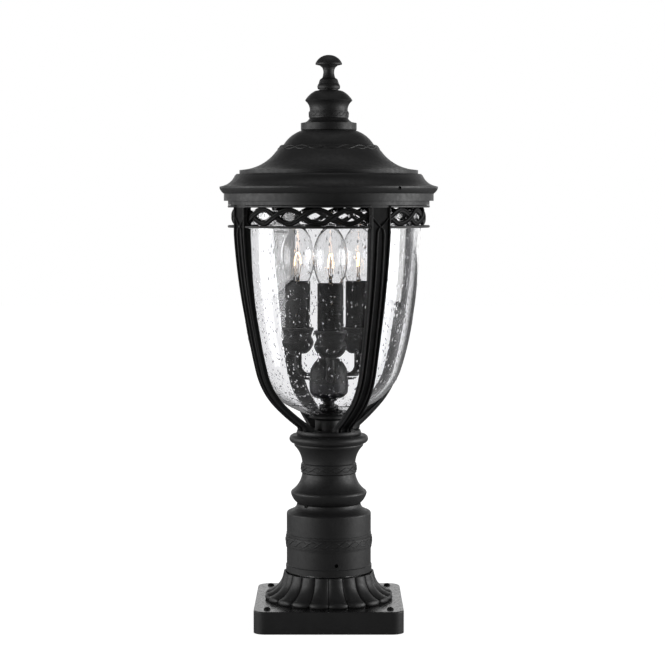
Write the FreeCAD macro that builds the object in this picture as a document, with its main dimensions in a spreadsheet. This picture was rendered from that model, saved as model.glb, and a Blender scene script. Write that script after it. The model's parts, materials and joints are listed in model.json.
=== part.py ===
import FreeCAD, Part
import math
import os
import re

import Sketcher

# An outdoor pedestal light: a lantern with a seeded glass urn on a turned
# column, fitted over a spigot on a square plinth. Millimetres, Z up, with the
# origin at the centre of the plinth's underside and the front facing -Y.

SIZES = [
    # Play and gaps that many pieces share
    ("seat_play", 0.1, "play between pieces that seat on each other"),
    ("body_gap", 0.3, "gap between pieces that come apart or turn"),
    ("turning_play", 0.4, "radial play of the head on its spigot"),
    ("cut_overrun", 4, "how far a cut runs past the face that it leaves"),
    # Screws
    ("screw_radius", 2, "shank of every machine screw"),
    ("screw_play", 0.15, "radial play of a screw in its hole"),
    ("screw_head_radius", 3.5, "head of every machine screw"),
    ("screw_head_height", 2.2, "height of a domed head"),
    ("screw_socket_radius", 1.2, "drive recess in a head"),
    ("screw_socket_depth", 1.1, "depth of a drive recess"),
    ("grub_radius", 1.8, "headless set screw"),
    ("grub_sink", 2.2, "how far a fitter set screw is sunk below its surface"),
    # Plinth and what it hides
    ("plinth_width", 150, "side of the square plinth"),
    ("plinth_height", 22.6, "height of the plinth"),
    ("plinth_corner", 12, "rounding of the plinth's upright corners"),
    ("plinth_edge", 1.4, "rounding of the plinth's top edge"),
    ("plinth_wall", 4, "side wall of the plinth casting"),
    ("plinth_deck", 4.5, "top wall of the plinth casting"),
    ("corner_screw_spacing", 123, "distance between neighbouring corner screws"),
    ("corner_screw_length", 14, "shank of a corner screw"),
    ("cable_window", 24, "radius of the opening in the plinth's deck"),
    ("plate_thickness", 5, "steel mounting plate"),
    ("plate_play", 0.5, "play between the plate and the plinth's walls"),
    ("pillar_radius", 5, "threaded pillars that carry the plinth's deck"),
    ("anchor_spacing", 90, "distance between neighbouring anchor holes"),
    ("anchor_hole_radius", 4.5, "anchor holes for M8 bolts"),
    ("grommet_bore", 5, "radius of the cable entry"),
    ("grommet_sleeve", 10, "radius of the grommet's sleeve"),
    ("grommet_flange", 13, "radius of the grommet's flange"),
    ("grommet_lip", 2.5, "thickness of the grommet's flange"),
    ("earth_screw_place", 32, "distance of the earth screw from the axis"),
    ("earth_washer_radius", 5, "washer under the earth screw"),
    ("earth_washer_thickness", 1, "thickness of that washer"),
    # Fluted skirt and spigot
    ("skirt_foot_radius", 65.8, "skirt over its flutes, at the foot"),
    ("skirt_top_radius", 46.4, "skirt over its flutes, at the top"),
    ("skirt_height", 27.4, "height of the skirt"),
    ("skirt_bore", 50, "bore at the skirt's foot"),
    ("skirt_screw_circle", 54, "circle of the screws under the skirt"),
    ("skirt_screw_length", 9.5, "shank of a skirt screw"),
    ("flute_count", 20, "flutes round the skirt"),
    ("flute_depth", 2, "depth of a flute"),
    ("ridge_root", 1, "how deep a ridge reaches into the skirt's wall"),
    ("ridge_share", 0.611, "share of the pitch that a ridge takes"),
    ("flute_phase", -90, "direction of one ridge, in degrees from +X"),
    ("spigot_radius", 38.1, "outside of the post spigot"),
    ("spigot_wall", 2.5, "wall of the spigot"),
    ("spigot_height", 81.4, "height of the spigot above the plinth"),
    ("spigot_flange_radius", 48.8, "foot flange of the spigot"),
    ("spigot_flange_thickness", 4, "thickness of that flange"),
    ("flange_screw_circle", 43.6, "circle of the screws in that flange"),
    ("flange_screw_turn", 60, "direction of one of those screws, in degrees from +X"),
    ("screw_count", 3, "screws in each ring of three"),
    # Post fitter
    ("turning_gap", 1.5, "gap between the skirt and the turning head"),
    ("fitter_radius", 43.2, "outside of the post fitter"),
    ("fitter_height", 69, "height of the post fitter"),
    ("fitter_neck_radius", 32.6, "neck at the top of the fitter"),
    ("fitter_shoulder", 10, "height of the fitter's shoulder"),
    ("fitter_chamber_radius", 26, "wiring chamber in the fitter"),
    ("fitter_web", 7.5, "web that closes the fitter's top"),
    ("fitter_band_foot", 24.5, "height of the relief band's lower edge"),
    ("fitter_band_height", 12, "height of that relief band"),
    ("band_relief", 0.7, "how far a relief band stands out"),
    ("fitter_bead_height", 6, "height of the bead round the fitter's foot"),
    ("fitter_bead_relief", 0.8, "how far that bead stands out"),
    ("grub_height", 11.2, "height of the set screws over the fitter's foot"),
    ("fitter_grub_turn", -79.6, "direction of the front set screw"),
    # Turned column
    ("column_height", 70.7, "height of the turned column"),
    ("column_foot_radius", 38.9, "lower bead of the column"),
    ("column_seat_radius", 31.6, "column where it meets the fitter"),
    ("column_waist_radius", 27.3, "waist of the column"),
    ("column_top_radius", 37.4, "column under its upper bead"),
    ("column_bore", 19, "bore of the column"),
    ("column_web", 7, "web that closes the column's top"),
    # Collar, glass cup and stem
    ("collar_radius", 32.2, "collar that carries the cage"),
    ("collar_height", 4.8, "height of the collar"),
    ("collar_bead_share", 0.3, "roundness of the collar's edge"),
    ("cup_foot_radius", 14, "pillar under the glass"),
    ("cup_rim_radius", 20, "dish that the glass stands in"),
    ("cup_height", 14.5, "height of the glass cup"),
    ("gasket_thickness", 1, "soft washer under the glass"),
    ("stem_radius", 6, "outside of the threaded stem"),
    ("stem_bore", 4.2, "wiring bore of the stem"),
    ("stem_play", 0.2, "radial play round the stem"),
    ("stem_overhang", 2, "how far the stem passes its lower nut"),
    ("nut_flats", 17, "width over the flats of the stem's nuts"),
    ("nut_height", 5, "height of a stem nut"),
    ("lead_radius", 3.4, "lamp lead inside the stem"),
    # Glass urn
    ("glass_wall", 3, "wall of the glass"),
    ("glass_foot_radius", 20.5, "flat bottom of the glass"),
    ("glass_clearance", 4.1, "glass inside the straps, measured at the rim"),
    ("glass_rim_gap", 2.8, "glass rim below the top flange"),
    # Cage
    ("cage_radius", 103.4, "outside of the straps"),
    ("cage_height", 227, "straps from the collar to the top flange"),
    ("strap_count", 4, "straps round the cage"),
    ("strap_turn", -60, "direction of the first strap, in degrees from +X"),
    ("strap_width", 22, "width of a strap"),
    ("strap_depth", 6, "depth of a strap"),
    ("strap_rim_width", 3, "raised rims along a strap"),
    ("strap_rim_height", 1.6, "height of those rims"),
    ("strap_rib_width", 1.4, "thin ribs between the rims"),
    ("strap_rib_height", 1.1, "height of those ribs"),
    ("strap_rib_offset", 3.2, "place of a rib from the strap's centre line"),
    ("strap_tongue", 4.5, "depth of a strap where it crosses the band"),
    ("strap_skin", 0.6, "metal left before a strap's screw hole"),
    ("strap_foot_radius", 31.9, "outer end of a strap's foot"),
    ("strap_toe_radius", 22.6, "inner end of a strap's foot"),
    ("strap_foot_rise", 3.4, "upright face of a strap's foot"),
    ("foot_screw_circle", 27, "circle of the screws under the straps"),
    ("foot_screw_length", 7, "shank of a foot screw"),
    ("band_height", 22.5, "braided band over both its flanges"),
    ("band_wall", 4, "wall of the braided band"),
    ("band_bulge_share", 0.24, "roundness of the braided band"),
    ("flange_thickness", 2.3, "each flange of the braided band"),
    ("flange_radius", 102.6, "outside of both flanges"),
    ("upstand_height", 21.5, "ring that the roof fits over"),
    ("upstand_radius", 99.5, "outside of that ring"),
    ("upstand_wall", 3.2, "wall of that ring"),
    ("oval_count", 20, "ovals round the braided band"),
    ("oval_width", 17, "width of an oval opening"),
    ("oval_height", 9, "height of an oval opening"),
    ("crossing_rise", 2.1, "half the height of the strands where they cross"),
    # Lamp cluster
    ("cluster_foot", 225.5, "underside of the lamp cluster over the base"),
    ("cluster_radius", 20, "lower cup of the cluster"),
    ("cluster_neck", 8.5, "foot of the cluster's cup"),
    ("cluster_cup_height", 18.5, "height of the cluster's cup"),
    ("cluster_wall", 1.6, "wall of the cluster's cup and dome"),
    ("cluster_boss", 5, "threaded boss in the cluster's cup"),
    ("dome_height", 25.3, "height of the cluster's dome"),
    ("dome_top_radius", 10.5, "flat top of the dome"),
    ("dome_nut_radius", 8, "cap nut on the dome"),
    ("dome_nut_height", 6, "height of that nut"),
    ("dome_nut_bore_depth", 4.5, "depth of that nut's bore"),
    ("block_length", 12, "terminal block, along its row"),
    ("block_width", 7, "terminal block, across its row"),
    ("block_height", 9, "height of the terminal block"),
    ("block_place", 12.2, "distance of the block from the axis"),
    # Candles
    ("candle_count", 3, "candles round the cluster"),
    ("candle_turn", -87.3, "direction of the first candle from +X"),
    ("candle_circle", 36, "circle of the candles"),
    ("arm_radius", 4, "tube of a lamp arm"),
    ("arm_bore", 2.8, "bore of a lamp arm"),
    ("arm_bend", 11, "bend of a lamp arm"),
    ("arm_height", 6.2, "height of the arms over the dome's foot"),
    ("arm_start", 14, "inner end of a lamp arm"),
    ("candle_cup_foot", 29.5, "candle cup's foot over the dome's foot"),
    ("candle_cup_height", 26.5, "height of a candle cup"),
    ("candle_cup_radius", 16.4, "widest part of a candle cup"),
    ("candle_cup_neck", 13.9, "neck of a candle cup"),
    ("candle_cup_base", 9, "foot of a candle cup"),
    ("candle_socket_depth", 10, "how deep a sleeve stands in its cup"),
    ("sleeve_radius", 13, "outside of a candle sleeve"),
    ("sleeve_wall", 1, "wall of a candle sleeve"),
    ("sleeve_length", 57.2, "length of a candle sleeve"),
    ("holder_radius", 11.4, "lampholder body"),
    ("holder_sink", 2.5, "lampholder below the sleeve's top"),
    ("holder_length", 38, "lampholder body over its bracket"),
    ("holder_bore", 7.35, "bore of the lampholder"),
    ("holder_bore_depth", 27, "depth of that bore"),
    ("bracket_radius", 5, "bracket under the lampholder"),
    # Bulbs
    ("cap_radius", 6.95, "screw cap of a bulb"),
    ("cap_length", 26, "length of a bulb's cap"),
    ("cap_contact_radius", 2.4, "end contact of the cap"),
    ("cap_contact_height", 2.5, "height of that contact"),
    ("cap_contact_gap", 1.8, "contact above the bore's floor"),
    ("cap_recess", 4, "recess that holds the bulb's neck"),
    ("bulb_neck_radius", 6.2, "neck of the bulb's glass"),
    ("bulb_radius", 17.5, "widest part of the bulb"),
    ("bulb_length", 65.9, "glass of a bulb from its neck to its tip"),
    ("bulb_wall", 0.8, "wall of a bulb's glass"),
    ("bulb_tip_radius", 1.2, "flat tip of a bulb"),
    ("bulb_tip_length", 3.2, "solid glass at the tip"),
    ("filament_post_radius", 1.5, "glass post in a bulb"),
    ("filament_height", 46, "top of the filament over the bulb's neck"),
    ("filament_foot", 18, "lower ring of the filament"),
    ("filament_ring_radius", 3.6, "rings that hold the filament"),
    ("filament_ring_height", 0.9, "height of those rings"),
    ("filament_radius", 0.35, "one strand of the filament"),
    ("filament_circle", 2.8, "circle of the strands"),
    ("strand_count", 4, "strands of the filament"),
    # Roof
    ("roof_radius", 110.8, "rim of the roof"),
    ("roof_height", 74.8, "roof from its lip to the cupola"),
    ("roof_lip_height", 4.1, "lip that stands on the top flange"),
    ("roof_lip_radius", 102.3, "outside of that lip"),
    ("fascia_radius", 106.5, "fascia under the rim"),
    ("fascia_height", 7.2, "height of the fascia"),
    ("roof_wall", 3.2, "wall of the roof casting"),
    ("roof_cove_top", 31.2, "top of the rim's cove over the roof's foot"),
    ("roof_ledge_radius", 90.6, "ledge above the rim's cove"),
    ("roof_ledge_rise", 3.9, "upright face of that ledge"),
    ("roof_ledge_drop", 1.3, "inside of the cove below the ledge"),
    ("roof_crown_radius", 27.4, "roof where the cupola stands"),
    ("roof_web", 4, "web that closes the roof's crown"),
    ("roof_grub_height", 16.4, "height of the roof's set screws"),
    ("roof_grub_length", 9.7, "length of a roof set screw"),
    ("roof_grub_turn", -51.3, "direction of the front right set screw"),
    # Cupola, rod and finial
    ("cupola_height", 41.8, "height of the cupola"),
    ("cupola_base_radius", 28.3, "base ring of the cupola"),
    ("cupola_drum_radius", 19.3, "drum of the cupola"),
    ("cupola_brim_radius", 24, "brim of the cupola"),
    ("cupola_top_radius", 9.6, "top of the cupola"),
    ("cupola_bore", 15, "bore of the cupola"),
    ("cupola_bore_depth", 31, "depth of that bore"),
    ("rod_radius", 3, "tie rod"),
    ("rod_drop", 12, "tie rod below the roof's web"),
    ("rod_rise", 17, "tie rod above the cupola"),
    ("rod_nut_flats", 10, "width over the flats of the rod's nut"),
    ("rod_nut_height", 5, "height of the rod's nut"),
    ("rod_washer_radius", 12, "washer above the rod's nut"),
    ("rod_washer_thickness", 1.6, "thickness of that washer"),
    ("finial_height", 34.4, "height of the finial"),
    ("finial_base_radius", 11.6, "base bead of the finial"),
    ("finial_neck_radius", 5.5, "neck of the finial"),
    ("finial_rim_radius", 13.4, "rim of the finial's knob"),
    ("finial_bore_rest", 1.2, "bore of the finial past the tie rod"),
]

# Heights that pieces share, each an expression over the sheet's sizes
SPIGOT_TOP = "(plinth_height + spigot_height)"
FITTER_FOOT = "(plinth_height + skirt_height + turning_gap)"
FITTER_TOP = f"({FITTER_FOOT} + fitter_height)"
COLUMN_TOP = f"({FITTER_TOP} + column_height)"
COLLAR_TOP = f"({COLUMN_TOP} + collar_height)"
GLASS_FOOT = f"({COLLAR_TOP} + cup_height + gasket_thickness)"
CAGE_TOP = f"({COLLAR_TOP} + cage_height + flange_thickness)"
BAND_FOOT = f"({CAGE_TOP} - band_height)"
ROOF_FOOT = f"({CAGE_TOP} + body_gap)"
ROOF_TOP = f"({ROOF_FOOT} + roof_height)"
CUPOLA_TOP = f"({ROOF_TOP} + cupola_height)"
FINIAL_FOOT = f"({CUPOLA_TOP} + body_gap)"
CLUSTER_FOOT = "cluster_foot"
DOME_FOOT = f"({CLUSTER_FOOT} + cluster_cup_height)"
CANDLE_CUP_FOOT = f"({DOME_FOOT} + candle_cup_foot)"
SLEEVE_FOOT = f"({CANDLE_CUP_FOOT} + candle_cup_height - candle_socket_depth)"
SLEEVE_TOP = f"({SLEEVE_FOOT} + sleeve_length)"
HOLDER_TOP = f"({SLEEVE_TOP} - holder_sink)"
CAP_FOOT = f"({HOLDER_TOP} - holder_bore_depth + cap_contact_gap)"
BULB_FOOT = f"({CAP_FOOT} + cap_length - cap_recess + seat_play)"

# Radii that pieces share
SCREW_HOLE = "(screw_radius + screw_play)"
HEAD_HOLE = "(screw_head_radius + screw_play)"
GRUB_HOLE = "(grub_radius + screw_play)"
STEM_HOLE = "(stem_radius + stem_play)"
ROD_HOLE = "(rod_radius + stem_play)"
FITTER_BORE = "(spigot_radius + turning_play)"
GLASS_RADIUS = "(cage_radius - strap_depth - glass_clearance)"
BAND_OUTSIDE = "(cage_radius - strap_tongue - seat_play)"
BAND_INSIDE = f"({BAND_OUTSIDE} - band_wall)"
ROOF_BORE = "(upstand_radius + body_gap + turning_play / 4)"

# The roundness of an arc is the tangent of a quarter of its turn
QUARTER_TURN_SHARE = math.tan(math.pi / 8)
DOMED_SHARE = 0.3
RELIEF_SHARE = 0.05
FASCIA_SHARE = 0.15
COVE_SHARE = -0.24
SQUARE_CORNERS = "4"

document = FreeCAD.newDocument("PedestalLight")
sheet = document.addObject("Spreadsheet::Sheet", "Sizes")
for row, (alias, number, meaning) in enumerate(SIZES, start=1):
    sheet.set(f"A{row}", meaning)
    sheet.set(f"B{row}", str(number))
    sheet.setAlias(f"B{row}", alias)
document.recompute()

nodes = []
cuts = []


def tied(expression):
    """The expression with each size in it read from the sheet."""
    return re.sub(r"\b[a-z]+_[a-z_]+\b", lambda name: "Sizes." + name.group(0), expression)


def value(expression):
    """The number that an expression over the sizes gives."""
    return float(sheet.evalExpression(tied(expression)))


def between(low, high, share):
    """The expression for a share of the way from low to high."""
    return f"({low} + ({high} - {low}) * {share})"


def outline(shares, across, up):
    """Points given as shares of two ranges, as expressions, with their bulges."""
    return [
        (between(*across, point[0]), between(*up, point[1]), *point[2:]) for point in shares
    ]


def walked_back(points):
    """The same open chain from its end to its start."""
    back = []
    for place in range(len(points) - 1, -1, -1):
        bulge = points[place - 1][2] if place > 0 and len(points[place - 1]) > 2 else 0
        back.append((points[place][0], points[place][1], -bulge))
    return back


def moved_in(points, distance):
    """An open chain set a distance to its left, where its solid lies."""
    spots = [(value(point[0]), value(point[1])) for point in points]
    bulges = [point[2] if len(point) > 2 else 0 for point in points]
    leaving = []
    arriving = []
    for start, end, bulge in zip(spots, spots[1:], bulges):
        heading = math.atan2(end[1] - start[1], end[0] - start[0])
        half_turn = 2 * math.atan(bulge)
        leaving.append(heading - half_turn)
        arriving.append(heading + half_turn)
    inside = []
    for place, point in enumerate(points):
        came = arriving[place - 1] if place > 0 else leaving[0]
        goes = leaving[place] if place < len(leaving) else arriving[-1]
        turn = math.remainder(goes - came, math.tau)
        heading = came + turn / 2
        reach = 1 / math.cos(turn / 2)
        across = -math.sin(heading) * reach
        up = math.cos(heading) * reach
        inside.append(
            (
                f"({point[0]} + ({distance}) * {across:.5f})",
                f"({point[1]} + ({distance}) * {up:.5f})",
                bulges[place],
            )
        )
    return inside


def circle(radius, across="0", up="0"):
    """A circle for a sketch."""
    return ("circle", radius, across, up)


def circles_round(radius, ring, count, turn="0"):
    """Alike circles on a ring round the axis."""
    number = int(value(count))
    return [
        circle(
            radius,
            f"{ring} * cos({turn} + {place} * 360 / {count})",
            f"{ring} * sin({turn} + {place} * 360 / {count})",
        )
        for place in range(number)
    ]


def rounded_square(width, corner):
    """A square with rounded corners, centred on the origin."""
    half = f"({width}) / 2"
    flat = f"(({width}) / 2 - ({corner}))"
    return [
        (flat, f"-{half}", QUARTER_TURN_SHARE),
        (half, f"-{flat}"),
        (half, flat, QUARTER_TURN_SHARE),
        (flat, half),
        (f"-{flat}", half, QUARTER_TURN_SHARE),
        (f"-{half}", flat),
        (f"-{half}", f"-{flat}", QUARTER_TURN_SHARE),
        (f"-{flat}", f"-{half}"),
    ]


def square_corners(spacing):
    """The places at the four corners of a square."""
    half = f"{spacing} / 2"
    return [(half, half), (f"-{half}", half), (f"-{half}", f"-{half}"), (half, f"-{half}")]


def rectangle(left, right, low, high):
    """A rectangle between four expressions."""
    return [(left, low), (right, low), (right, high), (left, high)]


def hexagon(flats):
    """A hexagon of a width over its flats, centred on the origin."""
    corner = f"({flats}) / sqrt(3)"
    return [
        (f"{corner} * cos({turn})", f"{corner} * sin({turn})") for turn in range(0, 360, 60)
    ]


def new_body(name, node=True):
    """A body for one sub-part, which may hold a group of alike fasteners."""
    body = document.addObject("PartDesign::Body", name)
    body.Label = name
    body.AllowCompound = True
    if node:
        nodes.append(body)
    return body


def origin_feature(body, role):
    """One of the body's own origin planes or axes."""
    return next(item for item in body.Origin.OriginFeatures if item.Role == role)


def bind(item, path, expression):
    """Tie a property to an expression that isn't zero."""
    if expression != "0":
        item.setExpression(path, tied(expression))


def pin_point(sketch, geometry, end, across, up):
    """Fix a point of a sketch at two expressions."""
    for kind, expression, axis in (("DistanceX", across, -2), ("DistanceY", up, -1)):
        if expression == "0":
            sketch.addConstraint(Sketcher.Constraint("PointOnObject", geometry, end, axis))
            continue
        number = value(expression)
        index = sketch.addConstraint(
            Sketcher.Constraint(kind, -1, 1, geometry, end, number)
        )
        sketch.setExpression(f"Constraints[{index}]", tied(expression))


def add_circle(sketch, loop):
    """Draw a circle whose centre and radius follow the sizes."""
    _, radius, across, up = loop
    centre = FreeCAD.Vector(value(across), value(up), 0)
    shape = Part.Circle(centre, FreeCAD.Vector(0, 0, 1), value(radius))
    index = sketch.addGeometry(shape, False)
    pin_point(sketch, index, 3, across, up)
    limit = sketch.addConstraint(Sketcher.Constraint("Radius", index, value(radius)))
    sketch.setExpression(f"Constraints[{limit}]", tied(radius))


def arc_between(start, end, bulge):
    """The arc from start to end, and whether it is drawn from start to end."""
    run = end - start
    middle = (start + end) / 2
    left = FreeCAD.Vector(-run.y, run.x, 0)
    centre = middle + left * ((1 - bulge * bulge) / (4 * bulge))
    radius = (start - centre).Length
    first, last = (start, end) if bulge > 0 else (end, start)
    first_angle = math.atan2(first.y - centre.y, first.x - centre.x)
    last_angle = math.atan2(last.y - centre.y, last.x - centre.x)
    if last_angle < first_angle:
        last_angle += math.tau
    rim = Part.Circle(centre, FreeCAD.Vector(0, 0, 1), radius)
    return Part.ArcOfCircle(rim, first_angle, last_angle), bulge > 0


def add_outline(sketch, points):
    """Draw a closed outline of lines and arcs whose corners follow the sizes."""
    spots = [FreeCAD.Vector(value(point[0]), value(point[1]), 0) for point in points]
    first = sketch.GeometryCount
    shapes = []
    ends = []
    for place, point in enumerate(points):
        start = spots[place]
        end = spots[(place + 1) % len(points)]
        bulge = point[2] if len(point) > 2 else 0
        if bulge:
            shape, forward = arc_between(start, end, bulge)
            ends.append((1, 2) if forward else (2, 1))
        else:
            shape = Part.LineSegment(start, end)
            ends.append((1, 2))
        shapes.append(shape)
    sketch.addGeometry(shapes, False)
    joints = []
    for place in range(len(points)):
        after = (place + 1) % len(points)
        joints.append(
            Sketcher.Constraint(
                "Coincident", first + place, ends[place][1], first + after, ends[after][0]
            )
        )
    sketch.addConstraint(joints)
    for place, point in enumerate(points):
        pin_point(sketch, first + place, ends[place][0], point[0], point[1])
        bulge = point[2] if len(point) > 2 else 0
        if bulge:
            after = points[(place + 1) % len(points)]
            chord = (
                f"sqrt(({after[0]} - {point[0]}) ^ 2 + ({after[1]} - {point[1]}) ^ 2)"
            )
            factor = (1 + bulge * bulge) / (4 * abs(bulge))
            radius = f"{chord} * {factor:.8f}"
            index = sketch.addConstraint(
                Sketcher.Constraint("Radius", first + place, value(radius))
            )
            sketch.setExpression(f"Constraints[{index}]", tied(radius))


def new_sketch(body, role, loops, across="0", up="0", out="0", turn="0"):
    """A sketch on one of the body's planes, moved in and off that plane."""
    sketch = body.newObject("Sketcher::SketchObject", body.Label + "_sketch")
    sketch.AttachmentSupport = [(origin_feature(body, role), "")]
    sketch.MapMode = "FlatFace"
    spin = FreeCAD.Rotation(FreeCAD.Vector(0, 1, 0), value(turn))
    shift = FreeCAD.Vector(value(across), value(up), value(out))
    sketch.AttachmentOffset = FreeCAD.Placement(shift, spin)
    bind(sketch, "AttachmentOffset.Base.x", across)
    bind(sketch, "AttachmentOffset.Base.y", up)
    bind(sketch, "AttachmentOffset.Base.z", out)
    for loop in loops:
        if loop[0] == "circle":
            add_circle(sketch, loop)
        else:
            add_outline(sketch, loop)
    return sketch


def revolve(body, points, axis="V_Axis", across="0", up="0", out="0", angle="360", cut=False):
    """Turn a section round one of its sketch's axes, to add or to cut."""
    sketch = new_sketch(body, "XZ_Plane", [points], across, up, out)
    before = body.Tip
    kind = "PartDesign::Groove" if cut else "PartDesign::Revolution"
    feature = body.newObject(kind, body.Label + "_turned")
    feature.Profile = (sketch, [""])
    feature.ReferenceAxis = (sketch, [axis])
    feature.Angle = value(angle)
    if angle != "360":
        bind(feature, "Angle", angle)
        feature.Midplane = True
    if cut:
        feature.Refine = False
        cuts.append((before, feature))
    return feature


def extrude(body, role, loops, length, cut=False, **options):
    """Pad or cut loops square to a plane. Options: the sketch's moves, centred, flipped."""
    centred = options.pop("centred", False)
    flipped = options.pop("flipped", False)
    sketch = new_sketch(body, role, loops, **options)
    before = body.Tip
    kind = "PartDesign::Pocket" if cut else "PartDesign::Pad"
    feature = body.newObject(kind, body.Label + "_straight")
    feature.Profile = (sketch, [""])
    feature.Length = value(length)
    bind(feature, "Length", length)
    feature.Midplane = centred
    feature.Reversed = flipped
    if cut:
        feature.Refine = False
        cuts.append((before, feature))
    return feature


def repeat_round(body, features, count, angle="360"):
    """Copy features round the body's Z axis."""
    document.recompute()
    pattern = body.newObject("PartDesign::PolarPattern", body.Label + "_ring")
    pattern.Originals = features
    pattern.Axis = (origin_feature(body, "Z_Axis"), [""])
    pattern.Angle = value(angle)
    pattern.Occurrences = int(value(count))
    bind(pattern, "Angle", angle)
    bind(pattern, "Occurrences", count)
    pattern.Refine = False
    body.Tip = pattern
    return pattern


def repeat_in_groups(body, features, count, angle, groups):
    """Copy features over an angle, and that row round the whole turn."""
    document.recompute()
    both = body.newObject("PartDesign::MultiTransform", body.Label + "_groups")
    both.Originals = features
    steps = []
    for number, span in ((count, angle), (groups, "360")):
        step = document.addObject("PartDesign::PolarPattern", body.Label + "_step")
        step.Axis = (origin_feature(body, "Z_Axis"), [""])
        step.Angle = value(span)
        step.Occurrences = int(value(number))
        bind(step, "Angle", span)
        bind(step, "Occurrences", number)
        steps.append(step)
    both.Transformations = steps
    both.Refine = False
    body.Tip = both
    return both


def place(body, up="0", turn="0", across="0", along="0"):
    """Put a body at a height, in a direction and beside the axis."""
    spin = FreeCAD.Rotation(FreeCAD.Vector(0, 0, 1), value(turn))
    spot = FreeCAD.Vector(value(across), value(along), value(up))
    body.Placement = FreeCAD.Placement(spot, spin)
    bind(body, "Placement.Base.x", across)
    bind(body, "Placement.Base.y", along)
    bind(body, "Placement.Base.z", up)
    bind(body, "Placement.Rotation.Angle", turn)


def screw_section(length, head_up=True):
    """Half of a domed screw with a drive recess, its seat at zero."""
    up, down = ("", "-") if head_up else ("-", "")
    tip = f"{down}({length})"
    head = f"{up}screw_head_height"
    socket = f"{up}(screw_head_height - screw_socket_depth)"
    return [
        ("0", tip),
        ("screw_radius", tip),
        ("screw_radius", "0"),
        ("screw_head_radius", "0", DOMED_SHARE if head_up else -DOMED_SHARE),
        ("(screw_socket_radius + screw_radius / 4)", head),
        ("screw_socket_radius", head),
        ("screw_socket_radius", socket),
        ("0", socket),
    ]


def ring_of_screws(name, ring, length, up, count="screw_count", head_up=True, turn="0"):
    """Alike upright screws on a circle, as one group of solids."""
    body = new_body(name)
    screw = revolve(body, screw_section(length, head_up), across=ring)
    repeat_round(body, [screw], count)
    place(body, up=up, turn=turn)
    return body


def base_plinth():
    """The square casting with four corner screws in its deck."""
    body = new_body("base_plinth")
    square = rounded_square("plinth_width", "plinth_corner")
    block = extrude(body, "XY_Plane", [square], "plinth_height")
    document.recompute()
    top_edges = [
        f"Edge{index}"
        for index, edge in enumerate(block.Shape.Edges, start=1)
        if edge.BoundBox.ZMin > value("plinth_height") / 2
    ]
    edge_round = body.newObject("PartDesign::Fillet", "plinth_top_edge")
    edge_round.Base = (block, top_edges)
    edge_round.Radius = value("plinth_edge")
    bind(edge_round, "Radius", "plinth_edge")
    body.Tip = edge_round
    hollow = rounded_square("(plinth_width - 2 * plinth_wall)", "(plinth_corner - plinth_wall)")
    depth = "(plinth_height - plinth_deck)"
    extrude(body, "XY_Plane", [hollow], depth, cut=True, flipped=True)
    holes = [circle("cable_window")]
    holes += [circle(SCREW_HOLE, *spot) for spot in square_corners("corner_screw_spacing")]
    holes += circles_round(SCREW_HOLE, "skirt_screw_circle", "screw_count")
    holes += circles_round(SCREW_HOLE, "flange_screw_circle", "screw_count", "flange_screw_turn")
    extrude(body, "XY_Plane", holes, "plinth_height + cut_overrun", cut=True, flipped=True)


def mounting_plate():
    """The steel plate that is anchored to the pier, with its four pillars."""
    body = new_body("mounting_plate")
    side = "(plinth_width - 2 * (plinth_wall + plate_play))"
    corner = "(plinth_corner - plinth_wall)"
    extrude(body, "XY_Plane", [rounded_square(side, corner)], "plate_thickness")
    spots = square_corners("corner_screw_spacing")
    pillars = [circle("pillar_radius", *spot) for spot in spots]
    extrude(body, "XY_Plane", pillars, "(plinth_height - plinth_deck)")
    holes = [circle("(grommet_sleeve + seat_play)")]
    holes += [circle(SCREW_HOLE, *spot) for spot in spots]
    holes += [circle("anchor_hole_radius", *spot) for spot in square_corners("anchor_spacing")]
    holes += [circle(SCREW_HOLE, "0", "earth_screw_place")]
    extrude(body, "XY_Plane", holes, "plinth_height", cut=True, flipped=True)


def cable_grommet():
    """The soft bush that the supply cable enters through."""
    body = new_body("cable_grommet")
    revolve(
        body,
        [
            ("grommet_bore", "seat_play"),
            ("grommet_sleeve", "seat_play"),
            ("grommet_sleeve", "plate_thickness"),
            ("grommet_flange", "plate_thickness"),
            ("grommet_flange", "plate_thickness + grommet_lip / 2", DOMED_SHARE),
            ("(grommet_flange - grommet_lip / 2)", "plate_thickness + grommet_lip"),
            ("grommet_bore", "plate_thickness + grommet_lip"),
        ],
    )


def earth_screw():
    """The earth terminal, a screw with a washer under its head."""
    body = new_body("earth_screw")
    seat = "earth_washer_thickness"
    revolve(
        body,
        [
            ("0", "seat_play - plate_thickness"),
            ("screw_radius", "seat_play - plate_thickness"),
            ("screw_radius", "0"),
            ("earth_washer_radius", "0"),
            ("earth_washer_radius", seat),
            ("screw_head_radius", seat, DOMED_SHARE),
            ("screw_radius", f"{seat} + screw_head_height"),
            ("0", f"{seat} + screw_head_height"),
        ],
    )
    place(body, up="plate_thickness", along="earth_screw_place")


def corner_screws():
    """The four domed screws that hold the plinth to its plate."""
    body = new_body("corner_screws")
    half = "corner_screw_spacing / 2"
    section = screw_section("corner_screw_length")
    screw = revolve(body, section, across=half, out=half)
    repeat_round(body, [screw], SQUARE_CORNERS)
    place(body, up="plinth_height")


SKIRT_SIDE_SHARES = [
    (0.95, 0, 0.3),
    (1, 0.1, 0.22),
    (0.9, 0.22, -0.24),
    (0.1, 0.72, -0.02),
    (0, 1),
]
SKIRT_BORE_SHARES = [(0, 1), (0, 0.72), (0.25, 0.6), (1, 0.18), (1, 0)]


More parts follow.
